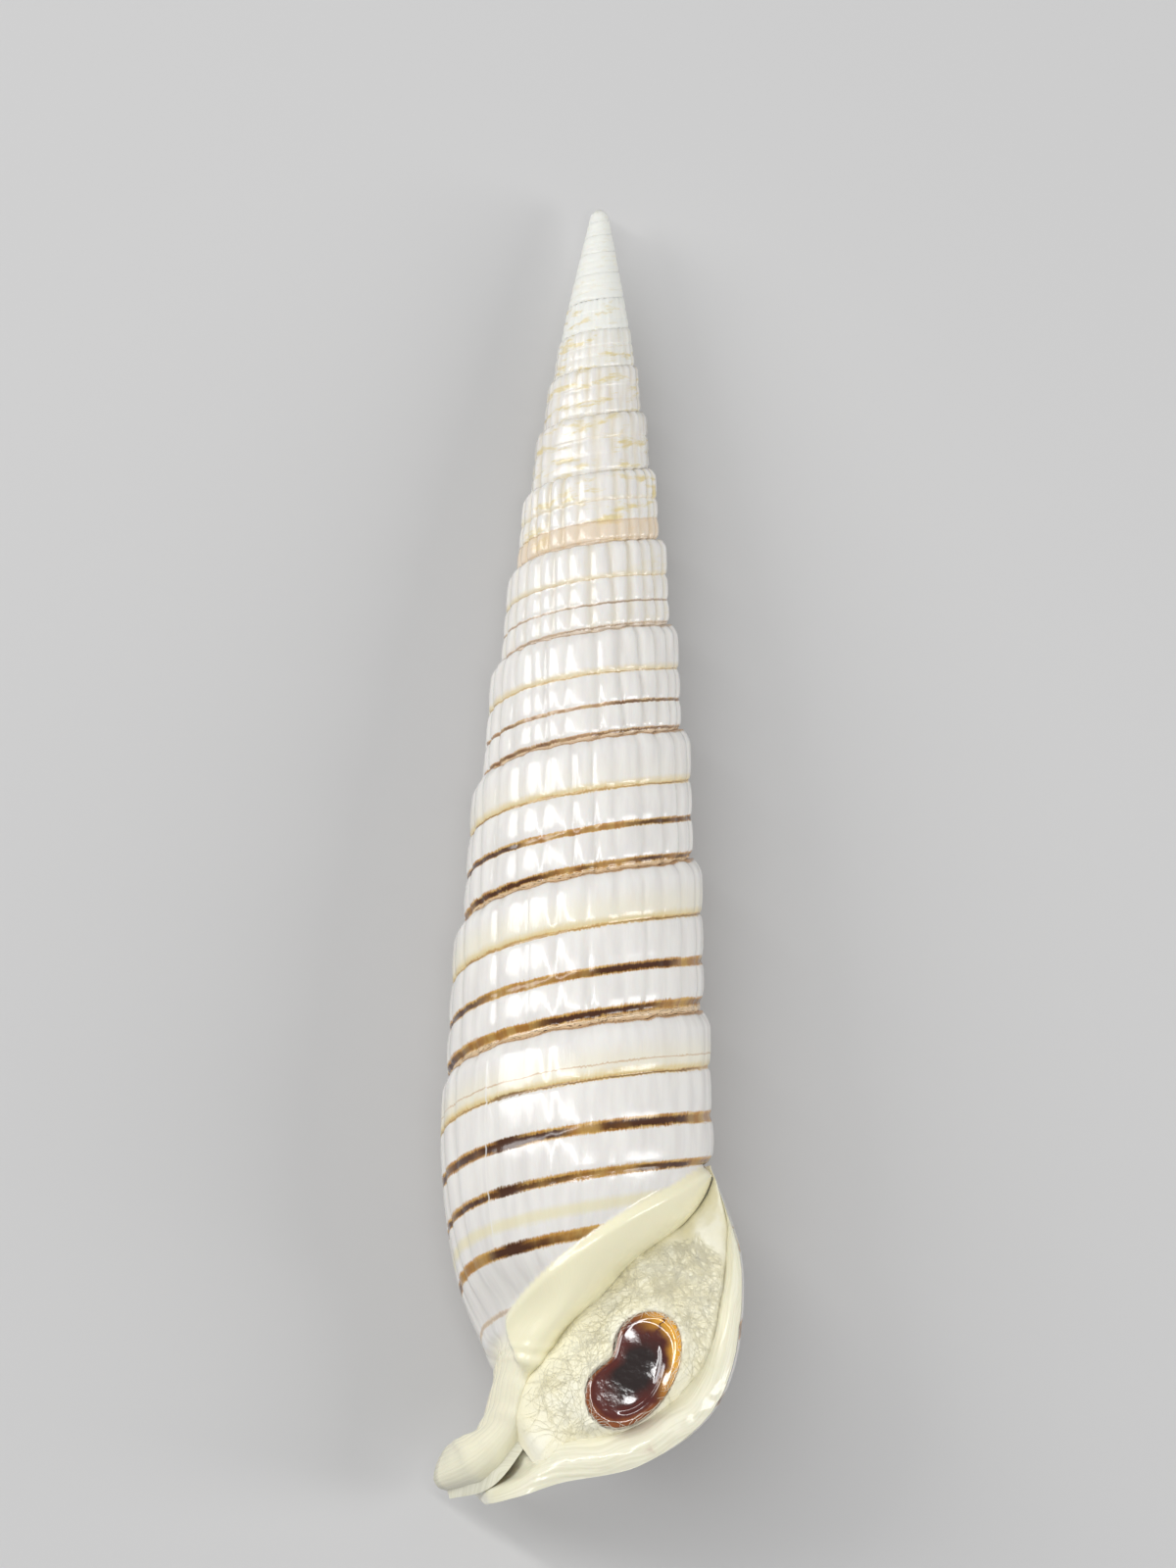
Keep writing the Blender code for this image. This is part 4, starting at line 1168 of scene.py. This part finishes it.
def thread_share(tree, band, centre, half_width, softness, widening):
    distance = calc(tree, "ABSOLUTE", calc(tree, "SUBTRACT", band, centre))
    distance = calc(tree, "DIVIDE", distance, widening)
    return rise(tree, distance, half_width + softness, half_width)


def paint_threads(tree, marks, colour):
    """Amber threads with broken brown cores."""
    age = rise(tree, marks.turn, *THREAD_AGES)
    widening = times(tree, rise(tree, marks.turn, *WIDENING_AGES), WIDENING)
    widening = calc(tree, "ADD", widening, NARROWEST)
    knots = between(tree, marks.turn, KNOTS_FROM, KNOTS_TO)
    spots = noise(tree, place(tree, times(tree, marks.turn, SPOT_RATE), marks.band), 1.0, 3.0)
    dark_spots = calc(tree, "MAXIMUM", rise(tree, spots, *SPOT_RANGE), FAINTEST_CORE)
    uncovered = calc(tree, "SUBTRACT", 1.0, marks.cream)
    thread_colour = blend_colour(tree, rise(tree, marks.growth, *HONEY_RANGE), AMBER, HONEY)
    for centre, half_width, softness, depth in THREADS:
        amber = thread_share(tree, marks.ragged, centre, half_width, softness, widening)
        amber = times(tree, amber, age, depth, uncovered)
        colour = blend_colour(tree, amber, colour, thread_colour)
        core_sizes = (CORE_WIDTH * half_width, CORE_SOFTNESS * half_width)
        core = thread_share(tree, marks.ragged, centre + CORE_SHIFT * half_width, *core_sizes, widening)
        core = calc(tree, "MAXIMUM", times(tree, core, dark_spots), knots)
        colour = blend_colour(tree, times(tree, amber, core), colour, THREAD_BROWN)
    return colour


print("groove and threads at bands", [centre for centre, *_ in THREADS])

# %% Fine lines
PALE_RING, PALE_RING_SHARE = (1.185, 0.012, 0.06), 0.6
HAIRLINE, HAIRLINE_AGES, HAIRLINE_SHARE = (0.275, 0.002, 0.005), (-1.3, -1.0), 0.5
PAUSE_TURN, PAUSE_WIDTH, PAUSE_END, PAUSE_SHARE = -0.648, (0.0016, 0.0006), (1.3, 1.2), 0.7


def paint_fine_lines(tree, marks, colour):
    """A pale ring on the base, a hairline, and the white line of one pause in growth."""
    pale_ring = thread_share(tree, marks.ragged, *PALE_RING, 1.0)
    colour = blend_colour(tree, times(tree, pale_ring, PALE_RING_SHARE), colour, PALE_YELLOW)
    hairline = thread_share(tree, marks.ragged, *HAIRLINE, 1.0)
    hairline = times(tree, hairline, rise(tree, marks.turn, *HAIRLINE_AGES), HAIRLINE_SHARE)
    colour = blend_colour(tree, hairline, colour, AMBER)
    pause = calc(tree, "ABSOLUTE", calc(tree, "SUBTRACT", marks.turn, PAUSE_TURN))
    pause = times(tree, rise(tree, pause, *PAUSE_WIDTH), rise(tree, marks.band, *PAUSE_END))
    return blend_colour(tree, times(tree, pause, PAUSE_SHARE), colour, PORCELAIN)


print("growth paused at turn", PAUSE_TURN)

# %% [markdown]
# ### Mouth
# Around the mouth the shell is covered by younger, creamier callus. The lip's cut edge shows its
# layers as pale and greyish streaks, and it has one pinkish blemish.

# %% Mouth
LAYER_RANGE, ON_LIP, LIP_SHARE = (0.35, 0.65), (-0.9, -0.6), 0.8
BLEMISH_PLACE = (4.7, 72.2, 4.4)
BLEMISH_REACH, BLEMISH_FRAY, BLEMISH_SHARE = (0.0011, 0.0006), 0.0006, 0.6


def paint_mouth(tree, marks, colour):
    """Cream callus, the lip's layers, and one blemish."""
    colour = blend_colour(tree, marks.cream, colour, CALLUS_CREAM)
    layer = mark(tree, "layer")
    layers = streaks(tree, (layer, 2.2), (marks.band, 3.0), 4.0, 0.6)
    lip_colour = blend_colour(tree, rise(tree, layers, *LAYER_RANGE), LIP_GREY, LIP_WHITE)
    colour = blend_colour(tree, times(tree, rise(tree, layer, *ON_LIP), LIP_SHARE), colour, lip_colour)
    where = position(tree)
    ends = ((0, where), (1, laid_down(np.array(BLEMISH_PLACE)).tolist()))
    away = add_node(tree, "ShaderNodeVectorMath", ends, operation="DISTANCE").outputs["Value"]
    away = calc(tree, "ADD", away, times(tree, noise(tree, where, 2500.0, 3.0), BLEMISH_FRAY))
    blemish = times(tree, rise(tree, away, *BLEMISH_REACH), BLEMISH_SHARE)
    return blend_colour(tree, blemish, colour, BLEMISH_PINK)


print("blemish on the lip, mm:", BLEMISH_PLACE)

# %% [markdown]
# ### Gloss
# Porcelain is glossy, lets a little light in, and is finely ridged by growth. The tip has lost its
# gloss, so the chalky part is rougher than the rest.

# %% Porcelain on the shell
COAT, COAT_ROUGHNESS = 0.3, 0.12
GLOW, GLOW_RADIUS = 0.12, (0.0012, 0.0008, 0.0005)
GLOSSY, CHALKY = (0.22, 0.22, 0.22, 1.0), (0.55, 0.55, 0.55, 1.0)
RIDGE_METRES, RIDGE_STRENGTH = 0.00005, 0.6


def make_porcelain():
    finish, tree, shader = new_finish("porcelain_with_brown_threads", 0.25)
    marks = ShellMarks(tree)
    colour = paint_ground(tree, marks)
    for paint in (paint_wear, paint_seams, paint_threads, paint_fine_lines, paint_mouth):
        colour = paint(tree, marks, colour)
    tree.links.new(colour, shader.inputs["Base Color"])
    shader.inputs["Coat Weight"].default_value = COAT
    shader.inputs["Coat Roughness"].default_value = COAT_ROUGHNESS
    shader.inputs["Subsurface Weight"].default_value = GLOW
    shader.inputs["Subsurface Radius"].default_value = GLOW_RADIUS
    shader.inputs["Subsurface Scale"].default_value = 1.0
    height = calc(tree, "ADD", times(tree, marks.growth, 0.6), times(tree, marks.fine, 0.4))
    tree.links.new(bump(tree, height, RIDGE_METRES, RIDGE_STRENGTH), shader.inputs["Normal"])
    tree.links.new(blend_colour(tree, marks.chalk, GLOSSY, CHALKY), shader.inputs["Roughness"])
    print("porcelain uses", len(tree.nodes), "nodes")
    return finish


creeper_shell.data.materials.append(make_porcelain())

# %% [markdown]
# ## Horn and cotton
# Horn is dark and deep in the middle and clear amber where it is thin, under a wet gloss. Cotton
# is the opposite: pale, soft and without any gloss, with a faint sheen from its fibres.

# %% Finishes of lid and cotton
HORN_BLACK = (0.012, 0.003, 0.001, 1.0)
HORN_RED = (0.09, 0.008, 0.002, 1.0)
HORN_BROWN = (0.26, 0.07, 0.012, 1.0)
HORN_AMBER = (0.85, 0.42, 0.035, 1.0)
COTTON_WHITE = (0.98, 0.95, 0.79, 1.0)
COTTON_SHADE = (0.96, 0.91, 0.69, 1.0)
BLOTCH_SIZE, REDDENING, BROWNING = 0.35, (0.35, 0.75), (0.82, 0.97)
AMBER_BEARING, AMBER_SPREAD, AMBER_REACH = -0.55, (0.2, 0.95), (0.62, 0.92)
CLUMP_RANGE, WAX_SHARE = (0.35, 0.68), 0.8


def make_horn():
    """Nearly black horn that clears to amber on one side of the rim."""
    finish, tree, shader = new_finish("glossy_horn", 0.12)
    where = position(tree)
    blotch = swing(tree, noise(tree, where, 900.0, 3.0), BLOTCH_SIZE)
    depth = calc(tree, "ADD", mark(tree, "rim"), blotch)
    colour = blend_colour(tree, rise(tree, depth, *REDDENING), HORN_BLACK, HORN_RED)
    colour = blend_colour(tree, rise(tree, depth, *BROWNING), colour, HORN_BROWN)
    sunny = calc(tree, "COSINE", calc(tree, "SUBTRACT", mark(tree, "bearing"), AMBER_BEARING))
    sunny = times(tree, rise(tree, sunny, *AMBER_SPREAD), rise(tree, depth, *AMBER_REACH))
    colour = blend_colour(tree, sunny, colour, HORN_AMBER)
    tree.links.new(colour, shader.inputs["Base Color"])
    shader.inputs["Coat Weight"].default_value = 1.0
    shader.inputs["Coat Roughness"].default_value = 0.05
    tree.links.new(bump(tree, noise(tree, where, 1600.0, 3.0), 0.00006, 0.5), shader.inputs["Normal"])
    print("horn uses", len(tree.nodes), "nodes")
    return finish


def make_cotton():
    """Warm white clumps, with callus colour where the mat is waxy."""
    finish, tree, shader = new_finish("matted_cotton", 0.95)
    where = position(tree)
    clumps = noise(tree, where, 500.0, 5.0, 0.65)
    colour = blend_colour(tree, rise(tree, clumps, *CLUMP_RANGE), COTTON_SHADE, COTTON_WHITE)
    colour = blend_colour(tree, times(tree, mark(tree, "wax"), WAX_SHARE), colour, CALLUS_CREAM)
    tree.links.new(colour, shader.inputs["Base Color"])
    shader.inputs["Sheen Weight"].default_value = 0.5
    shader.inputs["Sheen Roughness"].default_value = 0.5
    shader.inputs["Specular IOR Level"].default_value = 0.25
    tree.links.new(bump(tree, noise(tree, where, 4000.0, 4.0, 0.7), 0.00006, 0.7), shader.inputs["Normal"])
    print("cotton uses", len(tree.nodes), "nodes")
    return finish


operculum_horn.data.materials.append(make_horn())
cotton_plug.data.materials.append(make_cotton())

# %% [markdown]
# ## Floor and light
# A plain pale floor carries the shell's soft shadow. Porcelain shows its shape by the highlights
# on it, so the light matters as much as the colour. A long narrow softbox hangs high above, a
# little to the left, and draws the clearest highlight. A larger one fills from the left, and a
# third, on the right, rakes across the ribs. A dim even sky lights the rest.

# %% Floor and lights
FLOOR_SIZE = 3.0
FLOOR_GREY = (0.57, 0.565, 0.56, 1.0)
SKY_WHITE, SKY_STRENGTH = (0.9, 0.92, 0.95, 1.0), 0.37
SOFTBOXES = (
    ("streak_light", (-95.0, 60.0, 420.0), (30.0, 420.0), 0.65),
    ("left_light", (-420.0, 160.0, 300.0), (200.0, 320.0), 1.2),
    ("right_light", (380.0, -60.0, 260.0), (120.0, 320.0), 0.85),
)


def add_floor():
    bpy.ops.mesh.primitive_plane_add(size=FLOOR_SIZE)
    floor = bpy.context.object
    floor.name = "floor"
    finish, _, shader = new_finish("pale_floor", 0.6)
    shader.inputs["Base Color"].default_value = FLOOR_GREY
    floor.data.materials.append(finish)


def add_softbox(name, place_mm, size_mm, watts):
    """Rectangular light that faces the middle of the table."""
    light = bpy.data.lights.new(name, "AREA")
    light.shape = "RECTANGLE"
    light.size, light.size_y = size_mm[0] * MM, size_mm[1] * MM
    light.energy = watts
    lamp = bpy.data.objects.new(name, light)
    lamp.location = [value * MM for value in place_mm]
    lamp.rotation_euler = Vector(-lamp.location).to_track_quat("-Z", "Y").to_euler()
    bpy.context.scene.collection.objects.link(lamp)


def add_sky():
    world = bpy.data.worlds.new("studio")
    world.use_nodes = True
    background = world.node_tree.nodes["Background"]
    background.inputs["Color"].default_value = SKY_WHITE
    background.inputs["Strength"].default_value = SKY_STRENGTH
    bpy.context.scene.world = world


add_floor()
for softbox in SOFTBOXES:
    add_softbox(*softbox)
add_sky()
bpy.context.scene.view_settings.view_transform = "Standard"
print("softboxes:", [name for name, *_ in SOFTBOXES])

# %% [markdown]
# ## Camera
# The shell is looked down on, a little from the mouth's end, as in the photograph. A far camera
# with a long lens keeps it free of perspective. The shell's tip is put at a chosen pixel of the
# picture, and the scale of the picture gives the lens.

# %% Camera
PHOTO_WIDTH, PHOTO_HEIGHT = 1200, 1600
MM_PER_PIXEL = 0.05617
TIP_PIXEL = (612.0, 214.0)
VIEW_TILT = math.radians(10.0) - REST_PITCH
VIEW_LEAN = math.radians(1.5)
CAMERA_DISTANCE = 0.9
SENSOR_HEIGHT = 24.0
FAR_CLIP = 20.0


def add_camera():
    ahead = Vector((0.0, math.sin(VIEW_TILT), -math.cos(VIEW_TILT)))
    level_up = Vector((0.0, math.cos(VIEW_TILT), math.sin(VIEW_TILT)))
    level_right = Vector((1.0, 0.0, 0.0))
    right = level_right * math.cos(VIEW_LEAN) + level_up * math.sin(VIEW_LEAN)
    up = level_up * math.cos(VIEW_LEAN) - level_right * math.sin(VIEW_LEAN)
    tip = Vector(laid_down(np.zeros(3)).tolist())
    to_middle = right * (0.5 * PHOTO_WIDTH - TIP_PIXEL[0]) - up * (0.5 * PHOTO_HEIGHT - TIP_PIXEL[1])
    middle = tip + to_middle * MM_PER_PIXEL * MM
    camera = bpy.data.objects.new("camera", bpy.data.cameras.new("camera"))
    camera.location = middle - ahead * CAMERA_DISTANCE
    camera.rotation_euler = Matrix((right, up, -ahead)).transposed().to_euler()
    camera.data.sensor_fit = "VERTICAL"
    camera.data.sensor_height = SENSOR_HEIGHT
    camera.data.lens = SENSOR_HEIGHT * CAMERA_DISTANCE / (PHOTO_HEIGHT * MM_PER_PIXEL * MM)
    camera.data.clip_end = FAR_CLIP
    bpy.context.scene.collection.objects.link(camera)
    bpy.context.scene.camera = camera
    return camera


camera = add_camera()
print("camera stands", CAMERA_DISTANCE, "m away, lens", round(camera.data.lens, 1), "mm")
